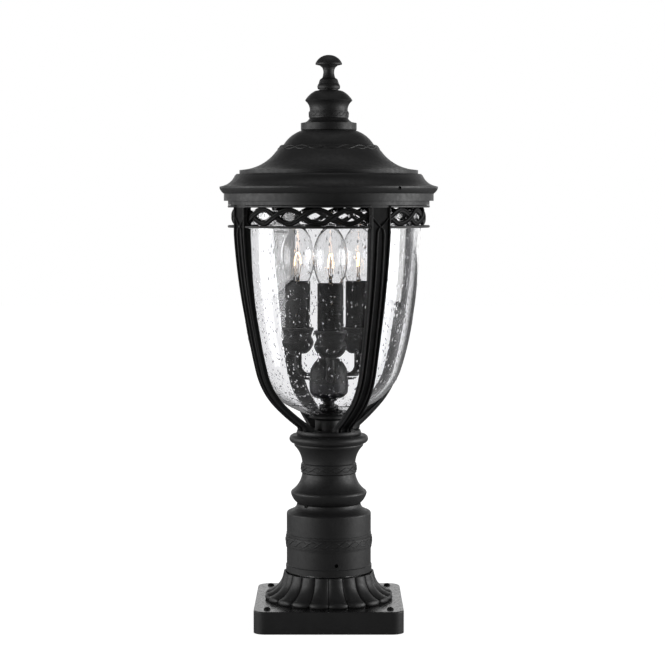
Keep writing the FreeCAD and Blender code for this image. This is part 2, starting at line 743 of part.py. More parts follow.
def fluted_skirt():
    """The flared casting with round ridges between its flutes."""
    body = new_body("fluted_skirt")
    side = outline(
        SKIRT_SIDE_SHARES, ("skirt_top_radius", "skirt_foot_radius"), ("0", "skirt_height")
    )
    core = moved_in(side, "flute_depth")
    core[0] = (core[0][0], "0", core[0][2])
    core[-1] = (core[-1][0], "skirt_height", 0)
    bore = outline(SKIRT_BORE_SHARES, (FITTER_BORE, "skirt_bore"), ("0", "skirt_height"))
    revolve(body, core + bore)
    heart = walked_back(moved_in(side, "(flute_depth + ridge_root)"))
    heart[0] = (heart[0][0], "skirt_height", heart[0][2])
    heart[-1] = (heart[-1][0], "0", 0)
    ridge = revolve(body, side + heart, angle="360 * ridge_share / flute_count")
    repeat_round(body, [ridge], "flute_count")
    extrude(
        body,
        "XY_Plane",
        circles_round(SCREW_HOLE, "skirt_screw_circle", "screw_count", "-flute_phase"),
        "(skirt_screw_length - plinth_deck + seat_play)",
        cut=True,
        flipped=True,
    )
    place(body, up="plinth_height", turn="flute_phase")


def spigot_tube():
    """The post tube that the head turns on, with its foot flange."""
    body = new_body("spigot_tube")
    inside = "(spigot_radius - spigot_wall)"
    revolve(
        body,
        [
            (inside, "0"),
            ("spigot_flange_radius", "0"),
            ("spigot_flange_radius", "spigot_flange_thickness"),
            ("spigot_radius", "spigot_flange_thickness"),
            ("spigot_radius", "spigot_height"),
            (inside, "spigot_height"),
        ],
    )
    extrude(
        body,
        "XY_Plane",
        circles_round(SCREW_HOLE, "flange_screw_circle", "screw_count", "flange_screw_turn"),
        "spigot_flange_thickness",
        cut=True,
        flipped=True,
    )
    place(body, up="plinth_height")


FITTER_SHOULDER_SHARES = [(1, 0, 0.2), (0.9, 0.17), (0.4, 0.4, -0.2), (0.03, 0.85), (0, 1)]


def post_fitter():
    """The cylinder that slips over the spigot, with its neck and set screw holes."""
    body = new_body("post_fitter")
    band = "(fitter_radius + band_relief)"
    band_top = "(fitter_band_foot + fitter_band_height)"
    bead = "(fitter_radius + fitter_bead_relief)"
    shoulder = outline(
        FITTER_SHOULDER_SHARES,
        ("fitter_neck_radius", "fitter_radius"),
        ("(fitter_height - fitter_shoulder)", "fitter_height"),
    )
    rest = f"({SPIGOT_TOP} + body_gap - {FITTER_FOOT})"
    web_foot = "(fitter_height - fitter_web)"
    revolve(
        body,
        [
            (FITTER_BORE, "0"),
            (bead, "0"),
            (bead, "fitter_bead_height"),
            ("fitter_radius", "(fitter_bead_height + fitter_bead_relief)"),
            ("fitter_radius", "fitter_band_foot"),
            (band, "fitter_band_foot", RELIEF_SHARE),
            (band, band_top),
            ("fitter_radius", band_top),
        ]
        + shoulder
        + [
            (STEM_HOLE, "fitter_height"),
            (STEM_HOLE, web_foot),
            ("fitter_chamber_radius", web_foot),
            ("fitter_chamber_radius", rest),
            (FITTER_BORE, rest),
        ],
    )
    inner = "(spigot_radius - cut_overrun)"
    drill = rectangle(inner, "(fitter_radius + cut_overrun)", "0", GRUB_HOLE)
    hole = revolve(body, drill, axis="H_Axis", up="grub_height", cut=True)
    repeat_round(body, [hole], "screw_count")
    place(body, up=FITTER_FOOT, turn="fitter_grub_turn")


def grub_section(inner, outer):
    """Half of a headless screw along a radius, with its drive recess outside."""
    return [
        (inner, "0"),
        (inner, "grub_radius"),
        (outer, "grub_radius"),
        (outer, "screw_socket_radius / 2"),
        (f"({outer} - screw_socket_depth)", "screw_socket_radius / 2"),
        (f"({outer} - screw_socket_depth)", "0"),
    ]


def fitter_set_screws():
    """The three screws that clamp the head in its direction."""
    body = new_body("fitter_set_screws")
    section = grub_section(FITTER_BORE, "(fitter_radius - grub_sink)")
    screw = revolve(body, section, axis="H_Axis")
    repeat_round(body, [screw], "screw_count")
    place(body, up=f"({FITTER_FOOT} + grub_height)", turn="fitter_grub_turn")


COLUMN_FOOT_SHARES = [(0, 0, 0.2), (1, 0.155, 0.25), (0.7, 0.2, -0.2)]
COLUMN_WAIST_SHARES = [
    (0, 0.44),
    (0.1, 0.455),
    (0.1, 0.58),
    (0, 0.595, -0.18),
    (0.74, 0.835, 0.3),
    (0.78, 0.87),
    (0.92, 0.885),
    (1, 0.885, 0.72),
    (1, 1),
]


def column():
    """The turned column, hollow, with a web at its top."""
    body = new_body("column")
    foot = outline(
        COLUMN_FOOT_SHARES, ("column_seat_radius", "column_foot_radius"), ("0", "column_height")
    )
    waist = outline(
        COLUMN_WAIST_SHARES, ("column_waist_radius", "column_top_radius"), ("0", "column_height")
    )
    web_foot = "(column_height - column_web)"
    revolve(
        body,
        foot
        + waist
        + [
            (STEM_HOLE, "column_height"),
            (STEM_HOLE, web_foot),
            ("column_bore", web_foot),
            ("column_bore", "0"),
        ],
    )
    place(body, up=FITTER_TOP)


def seat_collar():
    """The disc on the column that the cage's straps are screwed to."""
    body = new_body("seat_collar")
    revolve(
        body,
        [
            (STEM_HOLE, "0"),
            ("collar_radius", "0", value("collar_bead_share")),
            ("collar_radius", "collar_height"),
            (STEM_HOLE, "collar_height"),
        ],
    )
    holes = circles_round(SCREW_HOLE, "foot_screw_circle", "strap_count")
    extrude(body, "XY_Plane", holes, "collar_height", cut=True, flipped=True)
    seats = circles_round(HEAD_HOLE, "foot_screw_circle", "strap_count")
    depth = "(screw_head_height + seat_play)"
    extrude(body, "XY_Plane", seats, depth, cut=True, flipped=True)
    place(body, up=COLUMN_TOP, turn="strap_turn")


CUP_SHARES = [(0, 0), (0, 0.7, -0.2), (1, 0.9), (1, 1)]


def glass_cup():
    """The pillar with a dish that the glass stands in."""
    body = new_body("glass_cup")
    side = outline(CUP_SHARES, ("cup_foot_radius", "cup_rim_radius"), ("0", "cup_height"))
    revolve(body, [(STEM_HOLE, "0")] + side + [(STEM_HOLE, "cup_height")])
    place(body, up=COLLAR_TOP)


def glass_seat_gasket():
    """The soft washer between the cup and the glass."""
    body = new_body("glass_seat_gasket")
    side = "(cup_rim_radius - gasket_thickness)"
    revolve(body, rectangle(STEM_HOLE, side, "0", "gasket_thickness"))
    place(body, up=f"({COLLAR_TOP} + cup_height)")


GLASS_SIDE_SHARES = [
    (0, 0, 0.045),
    (0.35, 0.0577, 0.16),
    (0.7212, 0.2139, 0.045),
    (0.8915, 0.4663, 0.032),
    (1, 0.8966),
    (1, 1),
]


def glass_shade():
    """The open urn of seeded glass, with a stem hole in its flat bottom."""
    body = new_body("glass_shade")
    height = "(cage_height - cup_height - gasket_thickness - glass_rim_gap)"
    side = outline(GLASS_SIDE_SHARES, ("glass_foot_radius", GLASS_RADIUS), ("0", height))
    inner = walked_back(moved_in(side, "glass_wall"))
    inner[-1] = (inner[-1][0], "glass_wall", 0)
    hole = f"({STEM_HOLE} + stem_play)"
    revolve(body, [(hole, "0")] + side + inner + [(hole, "glass_wall")])
    place(body, up=GLASS_FOOT)


def stem_nut(name, up):
    """A hexagon nut on the threaded stem."""
    body = new_body(name)
    bore = circle("(stem_radius + seat_play)")
    extrude(body, "XY_Plane", [hexagon("nut_flats"), bore], "nut_height")
    place(body, up=up)


def glass_lock_nut():
    """The flanged nut that holds the glass down on its gasket."""
    body = new_body("glass_lock_nut")
    bore = "(stem_radius + seat_play)"
    full = "nut_height + gasket_thickness"
    extrude(body, "XY_Plane", [hexagon("nut_flats"), circle(bore)], full)
    flange = [circle("cup_foot_radius"), circle(bore)]
    extrude(body, "XY_Plane", flange, "gasket_thickness")
    place(body, up=f"({GLASS_FOOT} + glass_wall)")


STEM_FOOT = f"({FITTER_TOP} - fitter_web - nut_height - stem_overhang)"
STEM_TOP = f"({DOME_FOOT} + dome_height + dome_nut_bore_depth - body_gap)"


def stem_tube():
    """The threaded tube that ties the head together and carries the leads."""
    body = new_body("stem_tube")
    length = f"({STEM_TOP} - {STEM_FOOT})"
    extrude(body, "XY_Plane", [circle("stem_radius"), circle("stem_bore")], length)
    place(body, up=STEM_FOOT)


def lamp_lead():
    """The sheathed lead inside the stem."""
    body = new_body("lamp_lead")
    length = f"({STEM_TOP} - {STEM_FOOT} - 2 * stem_overhang)"
    extrude(body, "XY_Plane", [circle("lead_radius")], length)
    place(body, up=f"({STEM_FOOT} + stem_overhang)")


CLUSTER_CUP_SHARES = [(0, 0), (0.08, 0.13, 0.3), (0.96, 0.5), (1, 1)]


def cluster_cup():
    """The lower cup of the lamp cluster, with a boss on the stem."""
    body = new_body("cluster_cup")
    side = outline(
        CLUSTER_CUP_SHARES, ("cluster_neck", "cluster_radius"), ("0", "cluster_cup_height")
    )
    inner = walked_back(moved_in(side, "cluster_wall"))[:-2]
    inner[0] = (inner[0][0], "cluster_cup_height")
    inner[-1] = inner[-1][:2]
    bore = "(stem_radius + seat_play)"
    boss = [("cluster_neck", "cluster_boss"), (bore, "cluster_boss")]
    revolve(body, [(bore, "0")] + side + inner + boss)
    place(body, up=CLUSTER_FOOT)


CLUSTER_DOME_SHARES = [(1, 0), (0.96, 0.36, 0.2), (0, 1)]


def cluster_dome():
    """The dome that closes the cluster, with a hole for each lamp arm."""
    body = new_body("cluster_dome")
    side = outline(
        CLUSTER_DOME_SHARES,
        ("dome_top_radius", "(cluster_radius - seat_play)"),
        ("0", "dome_height"),
    )
    inner = walked_back(moved_in(side, "cluster_wall"))
    inner[0] = (inner[0][0], "(dome_height - cluster_wall)", inner[0][2])
    inner[-1] = (inner[-1][0], "0", 0)
    bore = "(stem_radius + seat_play)"
    crown = [(bore, "dome_height"), (bore, "(dome_height - cluster_wall)")]
    revolve(body, side + crown + inner)
    outer = "(cluster_radius + cut_overrun)"
    drill = rectangle("dome_top_radius", outer, "0", "(arm_radius + seat_play)")
    hole = revolve(body, drill, axis="H_Axis", up="arm_height", cut=True)
    repeat_round(body, [hole], "candle_count")
    place(body, up=DOME_FOOT, turn="candle_turn")


DOME_NUT_SHARES = [(1, 0), (1, 0.5, 0.3), (0.125, 1)]


def dome_nut():
    """The closed cap nut on top of the dome."""
    body = new_body("dome_nut")
    bore = "(stem_radius + seat_play)"
    side = outline(DOME_NUT_SHARES, ("0", "dome_nut_radius"), ("0", "dome_nut_height"))
    inside = [("0", "dome_nut_bore_depth"), (bore, "dome_nut_bore_depth")]
    revolve(body, [(bore, "0")] + side + [("0", "dome_nut_height")] + inside)
    place(body, up=f"({DOME_FOOT} + dome_height)")


def terminal_block():
    """The block beside the stem where the leads are joined."""
    body = new_body("terminal_block")
    block = rectangle(
        "(block_place - block_width / 2)",
        "(block_place + block_width / 2)",
        "-block_length / 2",
        "block_length / 2",
    )
    extrude(body, "XY_Plane", [block], "block_height")
    sockets = [
        circle("screw_socket_radius", "block_place", f"{sign}block_length / 4")
        for sign in ("", "-")
    ]
    extrude(body, "XY_Plane", sockets, "screw_socket_depth", cut=True, out="block_height")
    foot = f"({CLUSTER_FOOT} + cluster_cup_height - block_height)"
    place(body, up=foot, turn="candle_turn + 180 / candle_count")


def candle_pieces(number):
    """One arm with its candle cup, sleeve, lampholder and bulb."""
    turn = f"(candle_turn + {number} * 360 / candle_count)"
    spot = {"across": f"candle_circle * cos({turn})", "along": f"candle_circle * sin({turn})"}
    label = number + 1
    lamp_arm(f"lamp_arm_{label}", turn)
    candle_cup(f"candle_cup_{label}", spot)
    candle_sleeve(f"candle_sleeve_{label}", spot)
    lampholder(f"lampholder_{label}", spot)
    bulb_cap(f"bulb_cap_{label}", spot)
    bulb_glass(f"bulb_glass_{label}", spot)
    bulb_filament(f"bulb_filament_{label}", spot)


def lamp_arm(name, turn):
    """A bent tube from the cluster to a candle cup."""
    body = new_body(name)
    path = body.newObject("Sketcher::SketchObject", name + "_path")
    path.AttachmentSupport = [(origin_feature(body, "XZ_Plane"), "")]
    path.MapMode = "FlatFace"
    rise = "(candle_cup_foot - arm_height)"
    bend_start = "(candle_circle - arm_bend)"
    corners = [
        ("arm_start", "0"),
        (bend_start, "0"),
        ("candle_circle", "arm_bend"),
        ("candle_circle", rise),
    ]
    spots = [FreeCAD.Vector(value(across), value(up), 0) for across, up in corners]
    bend, _ = arc_between(spots[1], spots[2], QUARTER_TURN_SHARE)
    path.addGeometry(
        [Part.LineSegment(spots[0], spots[1]), bend, Part.LineSegment(spots[2], spots[3])], False
    )
    path.addConstraint(
        [
            Sketcher.Constraint("Coincident", 0, 2, 1, 1),
            Sketcher.Constraint("Coincident", 1, 2, 2, 1),
        ]
    )
    pin_point(path, 0, 1, *corners[0])
    pin_point(path, 1, 1, *corners[1])
    pin_point(path, 2, 1, *corners[2])
    pin_point(path, 2, 2, *corners[3])
    limit = path.addConstraint(Sketcher.Constraint("Radius", 1, value("arm_bend")))
    path.setExpression(f"Constraints[{limit}]", tied("arm_bend"))
    rings = [circle("arm_radius"), circle("arm_bore")]
    ring = new_sketch(body, "YZ_Plane", rings, out="arm_start")
    tube = body.newObject("PartDesign::AdditivePipe", name + "_tube")
    tube.Profile = (ring, [""])
    tube.Spine = (path, ["Edge1", "Edge2", "Edge3"])
    place(body, up=f"({DOME_FOOT} + arm_height)", turn=turn)


CANDLE_CUP_SHARES = [
    (-0.96, 0, 0.22),
    (1, 0.42, 0.1),
    (0.3, 0.6, -0.3),
    (0.2, 0.74, -0.1),
    (1, 0.93),
    (1, 1),
]


def candle_cup(name, spot):
    """The turned cup under a candle sleeve."""
    body = new_body(name)
    side = outline(
        CANDLE_CUP_SHARES,
        ("candle_cup_neck", "candle_cup_radius"),
        ("0", "candle_cup_height"),
    )
    side[0] = ("candle_cup_base", "0", side[0][2])
    floor = "(candle_cup_height - candle_socket_depth)"
    socket = "(sleeve_radius + seat_play)"
    revolve(
        body,
        [("arm_bore", "0")]
        + side
        + [(socket, "candle_cup_height"), (socket, floor), ("arm_bore", floor)],
    )
    place(body, up=CANDLE_CUP_FOOT, **spot)


def candle_sleeve(name, spot):
    """The thin tube that looks like a candle."""
    body = new_body(name)
    rings = [circle("sleeve_radius"), circle("(sleeve_radius - sleeve_wall)")]
    extrude(body, "XY_Plane", rings, "sleeve_length")
    place(body, up=SLEEVE_FOOT, **spot)


def lampholder(name, spot):
    """The lampholder on its bracket inside the sleeve."""
    body = new_body(name)
    height = "(sleeve_length - holder_sink)"
    foot = f"({height} - holder_length)"
    revolve(
        body,
        [
            ("arm_bore", "0"),
            ("bracket_radius", "0"),
            ("bracket_radius", foot),
            ("holder_radius", foot),
            ("holder_radius", height),
            ("holder_bore", height),
            ("holder_bore", f"({height} - holder_bore_depth)"),
            ("arm_bore", f"({height} - holder_bore_depth)"),
        ],
    )
    place(body, up=SLEEVE_FOOT, **spot)


def bulb_cap(name, spot):
    """The screw cap of a bulb, with a recess for the neck of its glass."""
    body = new_body(name)
    recess = "(bulb_neck_radius + seat_play)"
    revolve(
        body,
        [
            ("0", "0"),
            ("cap_contact_radius", "0", DOMED_SHARE),
            ("cap_contact_radius", "cap_contact_height"),
            ("cap_radius", "cap_contact_height"),
            ("cap_radius", "cap_length"),
            (recess, "cap_length"),
            (recess, "(cap_length - cap_recess)"),
            ("0", "(cap_length - cap_recess)"),
        ],
    )
    place(body, up=CAP_FOOT, **spot)


BULB_SIDE_SHARES = [
    (0, 0),
    (0, 0.09, -0.1),
    (0.25, 0.17, 0.03),
    (0.9, 0.37, 0.16),
    (0.97, 0.56, 0.06),
    (0.2, 0.85, -0.06),
]


def bulb_glass(name, spot):
    """The clear pointed envelope of a bulb."""
    body = new_body(name)
    side = outline(BULB_SIDE_SHARES, ("bulb_neck_radius", "bulb_radius"), ("0", "bulb_length"))
    side += [("bulb_tip_radius", "bulb_length")]
    inner = walked_back(moved_in(side, "bulb_wall"))[1:]
    inner[-1] = (inner[-1][0], "0", 0)
    revolve(
        body, side + [("0", "bulb_length"), ("0", "(bulb_length - bulb_tip_length)")] + inner
    )
    place(body, up=BULB_FOOT, **spot)


def bulb_filament(name, spot):
    """The glass post of a bulb with its ring of filament strands."""
    body = new_body(name)
    extrude(body, "XY_Plane", [circle("filament_post_radius")], "filament_height")
    rings = [circle("filament_ring_radius")]
    extrude(body, "XY_Plane", rings, "filament_ring_height", out="filament_foot")
    extrude(
        body,
        "XY_Plane",
        rings,
        "filament_ring_height",
        out="(filament_height - filament_ring_height)",
    )
    extrude(
        body,
        "XY_Plane",
        circles_round("filament_radius", "filament_circle", "strand_count"),
        "(filament_height - filament_foot - filament_ring_height)",
        out="(filament_foot + filament_ring_height / 2)",
    )
    place(body, up=BULB_FOOT, **spot)


def braid_openings(body, middle):
    """Cut the ovals of the braid and the small gaps at its crossings."""
    roundness = value("oval_height / oval_width")
    oval = [("-oval_width / 2", middle, roundness), ("oval_width / 2", middle, roundness)]
    reach = "(cage_radius + cut_overrun)"
    pitch = "360 / oval_count"
    window = extrude(body, "XZ_Plane", [oval], reach, cut=True, flipped=True, turn=pitch)
    span = f"{pitch} * (oval_count / strap_count - 2)"
    repeat_in_groups(body, [window], "(oval_count / strap_count - 1)", span, "strap_count")
    half_pitch = f"({BAND_OUTSIDE} * sin(180 / oval_count))"
    low = "(flange_thickness + seat_play)"
    high = "(band_height - flange_thickness - seat_play)"
    wide = f"({half_pitch} - oval_width / 4)"
    gaps = [
        [(f"-{wide}", low), (wide, low), ("0", f"({middle} - crossing_rise)")],
        [(f"-{wide}", high), ("0", f"({middle} + crossing_rise)"), (wide, high)],
    ]
    half = f"{pitch} / 2"
    crossing = extrude(body, "XZ_Plane", gaps, reach, cut=True, flipped=True, turn=half)
    span = f"{pitch} * (oval_count / strap_count - 1)"
    repeat_in_groups(body, [crossing], "(oval_count / strap_count)", span, "strap_count")


def cage_band():
    """The braided band between two thin flanges, with the roof's upstand."""
    body = new_body("cage_band")
    edge = f"({BAND_OUTSIDE} - band_wall / 2)"
    upper = "(band_height - flange_thickness)"
    top = "(band_height + upstand_height)"
    upstand_inside = "(upstand_radius - upstand_wall)"
    revolve(
        body,
        [
            (BAND_INSIDE, "0"),
            ("flange_radius", "0"),
            ("flange_radius", "flange_thickness"),
            (edge, "flange_thickness", value("band_bulge_share")),
            (edge, upper),
            ("flange_radius", upper),
            ("flange_radius", "band_height"),
            ("upstand_radius", "band_height"),
            ("upstand_radius", top),
            (upstand_inside, top),
            (upstand_inside, "band_height"),
            (BAND_INSIDE, upper),
        ],
    )
    middle = "(band_height / 2)"
    notch = rectangle(
        f"({BAND_OUTSIDE} + seat_play / 2)",
        "(flange_radius + cut_overrun)",
        "-(strap_width / 2 + seat_play)",
        "(strap_width / 2 + seat_play)",
    )
    depth = "(flange_thickness + seat_play)"
    slot = extrude(body, "XY_Plane", [notch], depth, cut=True, flipped=True)
    inner = f"({BAND_INSIDE} - cut_overrun)"
    drill = rectangle(inner, "cage_radius", "0", SCREW_HOLE)
    hole = revolve(body, drill, axis="H_Axis", up=middle, cut=True)
    counterbore = rectangle(inner, f"({BAND_INSIDE} + band_wall / 2)", "0", HEAD_HOLE)
    seat = revolve(body, counterbore, axis="H_Axis", up=middle, cut=True)
    repeat_round(body, [slot, hole, seat], "strap_count")
    braid_openings(body, middle)
    place(body, up=BAND_FOOT, turn="strap_turn")


STRAP_SIDE_SHARES = [
    (0.015, 0.015, 0.03),
    (0.3245, 0.0897, 0.153),
    (0.6909, 0.2714, 0.02),
    (0.8196, 0.4523, 0.039),
    (1, 0.8798),
    (1, 1),
]


STRAP_HOLE_END = "(cage_radius - strap_rim_height - strap_skin)"


def cage_strap(name, number):
    """A curved strap with raised rims and two thin ribs."""
    body = new_body(name)
    side = outline(STRAP_SIDE_SHARES, ("strap_foot_radius", "cage_radius"), ("0", "cage_height"))
    floor = moved_in(side, "strap_rim_height")
    inner = walked_back(moved_in(side, "strap_depth"))
    tongue = "(cage_radius - strap_tongue)"
    ledge = "(cage_height + flange_thickness - band_height - seat_play)"
    extrude(
        body,
        "XZ_Plane",
        [
            [("strap_foot_radius", "0")]
            + side
            + [(tongue, "cage_height"), (tongue, ledge), ("(cage_radius - strap_depth)", ledge)]
            + inner[1:-1]
            + [("strap_toe_radius", "strap_foot_rise + seat_play"), ("strap_toe_radius", "0")]
        ],
        "strap_width",
        centred=True,
    )
    outside = moved_in(side, "-seat_play")
    top = "(cage_height + seat_play)"
    channel = outside[1:-1] + [(outside[-1][0], top), (floor[-1][0], top)]
    channel += walked_back(floor[1:-1])
    width = "(strap_width - 2 * strap_rim_width)"
    extrude(body, "XZ_Plane", [channel], width, cut=True, centred=True)
    ribs = moved_in(side, "(strap_rim_height - strap_rib_height)")
    under = moved_in(side, "(strap_rim_height + strap_rib_height)")
    rib = ribs[1:-1] + walked_back(under[1:-1])
    for offset in ("strap_rib_offset", "-strap_rib_offset"):
        extrude(body, "XZ_Plane", [rib], "strap_rib_width", centred=True, out=offset)
    foot_hole = [circle(SCREW_HOLE, "foot_screw_circle")]
    depth = "(foot_screw_length - collar_height + screw_head_height + 2 * seat_play)"
    extrude(body, "XY_Plane", foot_hole, depth, cut=True, flipped=True)
    drill = rectangle(f"({tongue} - cut_overrun)", STRAP_HOLE_END, "0", SCREW_HOLE)
    height = "(cage_height + flange_thickness - band_height / 2)"
    revolve(body, drill, axis="H_Axis", up=height, cut=True)
    place(body, up=COLLAR_TOP, turn=f"(strap_turn + {number} * 360 / strap_count)")


def strap_screws():
    """The four screws that hold the straps to the band, from inside."""
    body = new_body("strap_screws")
    inner = f"({BAND_INSIDE} + screw_play)"
    seat = f"({BAND_INSIDE} + band_wall / 2)"
    tip = f"({STRAP_HOLE_END} - body_gap)"
    screw = revolve(
        body,
        [
            (inner, "0"),
            (inner, "screw_head_radius"),
            (seat, "screw_head_radius"),
            (seat, "screw_radius"),
            (tip, "screw_radius"),
            (tip, "0"),
        ],
        axis="H_Axis",
    )
    repeat_round(body, [screw], "strap_count")
    place(body, up=f"({BAND_FOOT} + band_height / 2)", turn="strap_turn")


ROOF_BELL_SHARES = [(0.1, 0.02, -0.2), (0.585, 0.475), (0.6, 0.5)]
ROOF_CROWN_SHARES = [(0.705, 0.64, 0.17), (0.975, 1)]


def roof_shell():
    """The bell-shaped roof with its fascia, rim, cove and ledge."""
    body = new_body("roof_shell")
    fascia_top = "(roof_lip_height + fascia_height)"
    rim_top = f"({fascia_top} + fascia_height)"
    cove_top = "roof_cove_top"
    ledge_top = "(roof_cove_top + roof_ledge_rise)"
    cove = "(roof_ledge_radius + roof_wall)"
    relief = "(band_relief + roof_wall / 2)"
    span = ("roof_ledge_radius", "roof_crown_radius")
    rise = (ledge_top, "roof_height")
    bell = outline(ROOF_BELL_SHARES, span, rise)
    crown = outline(ROOF_CROWN_SHARES, span, rise)
    side = (
        [
            ("roof_lip_radius", "0"),
            ("roof_lip_radius", "roof_lip_height"),
            ("fascia_radius", "roof_lip_height"),
            ("fascia_radius", fascia_top, FASCIA_SHARE),
            ("roof_radius", f"({rim_top} - fascia_height / 4)"),
            ("roof_radius", rim_top),
            ("(roof_radius - roof_wall)", f"({rim_top} + roof_wall / 4)", COVE_SHARE),
            (f"({cove} + roof_wall / 2)", f"({cove_top} - roof_wall / 2)"),
            (cove, cove_top),
            ("roof_ledge_radius", cove_top),
            ("roof_ledge_radius", ledge_top),
        ]
        + bell
        + [(f"({crown[0][0]} + {relief})", crown[0][1])]
        + crown
    )
    upstand_room = "(upstand_height + roof_wall / 2)"
    inner = [
        (ROOF_BORE, "0"),
        (ROOF_BORE, upstand_room),
        ("roof_ledge_radius", f"({cove_top} - roof_wall - roof_ledge_drop)"),
        ("(roof_ledge_radius - roof_wall)", f"({cove_top} - roof_ledge_drop)"),
    ]
    inner += moved_in(bell, "roof_wall")
    inner += moved_in(crown, "roof_wall")
    web_foot = "(roof_height - roof_web)"
    inner[-1] = (inner[-1][0], web_foot)
    revolve(body, side + [(ROD_HOLE, "roof_height"), (ROD_HOLE, web_foot)] + walked_back(inner))
    outer = "(roof_radius + cut_overrun)"
    drill = rectangle(f"({ROOF_BORE} - cut_overrun)", outer, "0", GRUB_HOLE)
    hole = revolve(body, drill, axis="H_Axis", up="roof_grub_height", cut=True)
    repeat_round(body, [hole], "screw_count")
    place(body, up=ROOF_FOOT, turn="roof_grub_turn")


def roof_set_screws():
    """The three screws that hold the roof on its upstand."""
    body = new_body("roof_set_screws")
    section = grub_section(ROOF_BORE, f"({ROOF_BORE} + roof_grub_length)")
    screw = revolve(body, section, axis="H_Axis")
    repeat_round(body, [screw], "screw_count")
    place(body, up=f"({ROOF_FOOT} + roof_grub_height)", turn="roof_grub_turn")


CUPOLA_BASE_SHARES = [(0.92, 0), (1, 0.03), (1, 0.19), (0.52, 0.21, -0.2)]
CUPOLA_DRUM_SHARES = [(0.25, 0.31), (1, 0.315, 0.05), (1, 0.47), (0, 0.475), (0, 0.53, -0.2)]
CUPOLA_BRIM_SHARES = [
    (0.95, 0.715),
    (1, 0.74),
    (0.9, 0.79, 0.1),
    (0.4, 0.945),
    (0.3, 0.965),
    (0, 0.985),
    (0, 1),
]


def cupola():
    """The small turned drum on top of the roof."""
    body = new_body("cupola")
    drum = "cupola_drum_radius"
    rise = ("0", "cupola_height")
    side = outline(CUPOLA_BASE_SHARES, (drum, "cupola_base_radius"), rise)
    side += outline(CUPOLA_DRUM_SHARES, (drum, f"({drum} + band_relief)"), rise)
    side += outline(CUPOLA_BRIM_SHARES, ("cupola_top_radius", "cupola_brim_radius"), rise)
    inside = [
        (ROD_HOLE, "cupola_height"),
        (ROD_HOLE, "(cupola_bore_depth + cupola_bore / 4)"),
        ("cupola_bore", "cupola_bore_depth"),
        ("cupola_bore", "0"),
    ]
    revolve(body, side + inside)
    place(body, up=ROOF_TOP)


ROD_FOOT = f"({ROOF_TOP} - roof_web - rod_drop)"


def tie_rod():
    """The threaded rod that holds roof, cupola and finial together."""
    body = new_body("tie_rod")
    length = f"({CUPOLA_TOP} + rod_rise - {ROD_FOOT})"
    extrude(body, "XY_Plane", [circle("rod_radius")], length)
    place(body, up=ROD_FOOT)


def rod_nut():
    """The washer and nut inside the roof."""
    body = new_body("rod_nut")
    bore = circle("(rod_radius + seat_play)")
    full = "(rod_nut_height + rod_washer_thickness)"
    extrude(body, "XY_Plane", [hexagon("rod_nut_flats"), bore], full)
    washer = [circle("rod_washer_radius"), bore]
    extrude(body, "XY_Plane", washer, "rod_washer_thickness", out="rod_nut_height")
    place(body, up=f"({ROOF_TOP} - roof_web - rod_nut_height - rod_washer_thickness)")


FINIAL_BASE_SHARES = [
    (0.9, 0, 0.1),
    (1, 0.085, 0.1),
    (0.78, 0.165),
    (0.6, 0.275, 0.1),
    (0.2, 0.33, -0.1),
]
FINIAL_KNOB_SHARES = [(0, 0.5, -0.12), (0.15, 0.63), (0.45, 0.69), (1, 0.72, 0.1), (1, 0.76, 0.28)]


def finial():
    """The knob that screws on to the tie rod."""
    body = new_body("finial")
    neck = "finial_neck_radius"
    rise = ("0", "finial_height")
    side = outline(FINIAL_BASE_SHARES, (neck, "finial_base_radius"), rise)
    side += outline(FINIAL_KNOB_SHARES, (neck, "finial_rim_radius"), rise)
    depth = "(rod_rise - body_gap + finial_bore_rest)"
    bore = f"({ROD_HOLE} + seat_play)"
    inside = [("0", "finial_height"), ("0", depth), (bore, depth), (bore, "0")]
    revolve(body, side + [("finial_rim_radius / 10", "finial_height")] + inside)
    place(body, up=FINIAL_FOOT)


def build_base():
    """Everything that stays fixed to the pier."""
    mounting_plate()
    cable_grommet()
    earth_screw()
    base_plinth()
    corner_screws()
    fluted_skirt()
    spigot_tube()
    ring_of_screws(
        "skirt_screws",
        "skirt_screw_circle",
        "skirt_screw_length",
        "(plinth_height - plinth_deck)",
        head_up=False,
    )
    ring_of_screws(
        "spigot_screws",
        "flange_screw_circle",
        "(spigot_flange_thickness + plinth_deck)",
        "(plinth_height + spigot_flange_thickness)",
        turn="flange_screw_turn",
    )


def build_head():
    """The turning head: fitter, column, glass, cage and lamps."""
    post_fitter()
    fitter_set_screws()
    column()
    seat_collar()
    glass_cup()
    glass_seat_gasket()
    glass_shade()
    glass_lock_nut()
    stem_tube()
    stem_nut("stem_bottom_nut", f"({FITTER_TOP} - fitter_web - nut_height)")
    lamp_lead()
    cluster_cup()
    cluster_dome()
    dome_nut()
    terminal_block()
    for number in range(int(value("candle_count"))):
        candle_pieces(number)
    cage_band()
    for number in range(int(value("strap_count"))):
        cage_strap(f"cage_strap_{number + 1}", number)
    strap_screws()
    ring_of_screws(
        "foot_screws",
        "foot_screw_circle",
        "foot_screw_length",
        f"({COLUMN_TOP} + screw_head_height + seat_play)",
        count="strap_count",
        head_up=False,
        turn="strap_turn",
    )


def build_roof():
    """The roof that lifts off, with the finial that unscrews."""
    roof_shell()
    roof_set_screws()
    cupola()
    tie_rod()
    rod_nut()
    finial()


def check_document():
    """Stop if any object failed, any cut missed or any solid is not sound."""
    for item in document.Objects:
        if "Invalid" in item.State or "Error" in item.State:
            raise RuntimeError(f"{item.Label} failed: {item.State}")
    for before, feature in cuts:
        if feature.Shape.Volume >= before.Shape.Volume:
            raise RuntimeError(f"{feature.Label} cuts nothing")
    for body in nodes:
        if body.Shape.isNull() or not body.Shape.isValid() or not body.Shape.Solids:
            raise RuntimeError(f"{body.Label} has no sound solid")


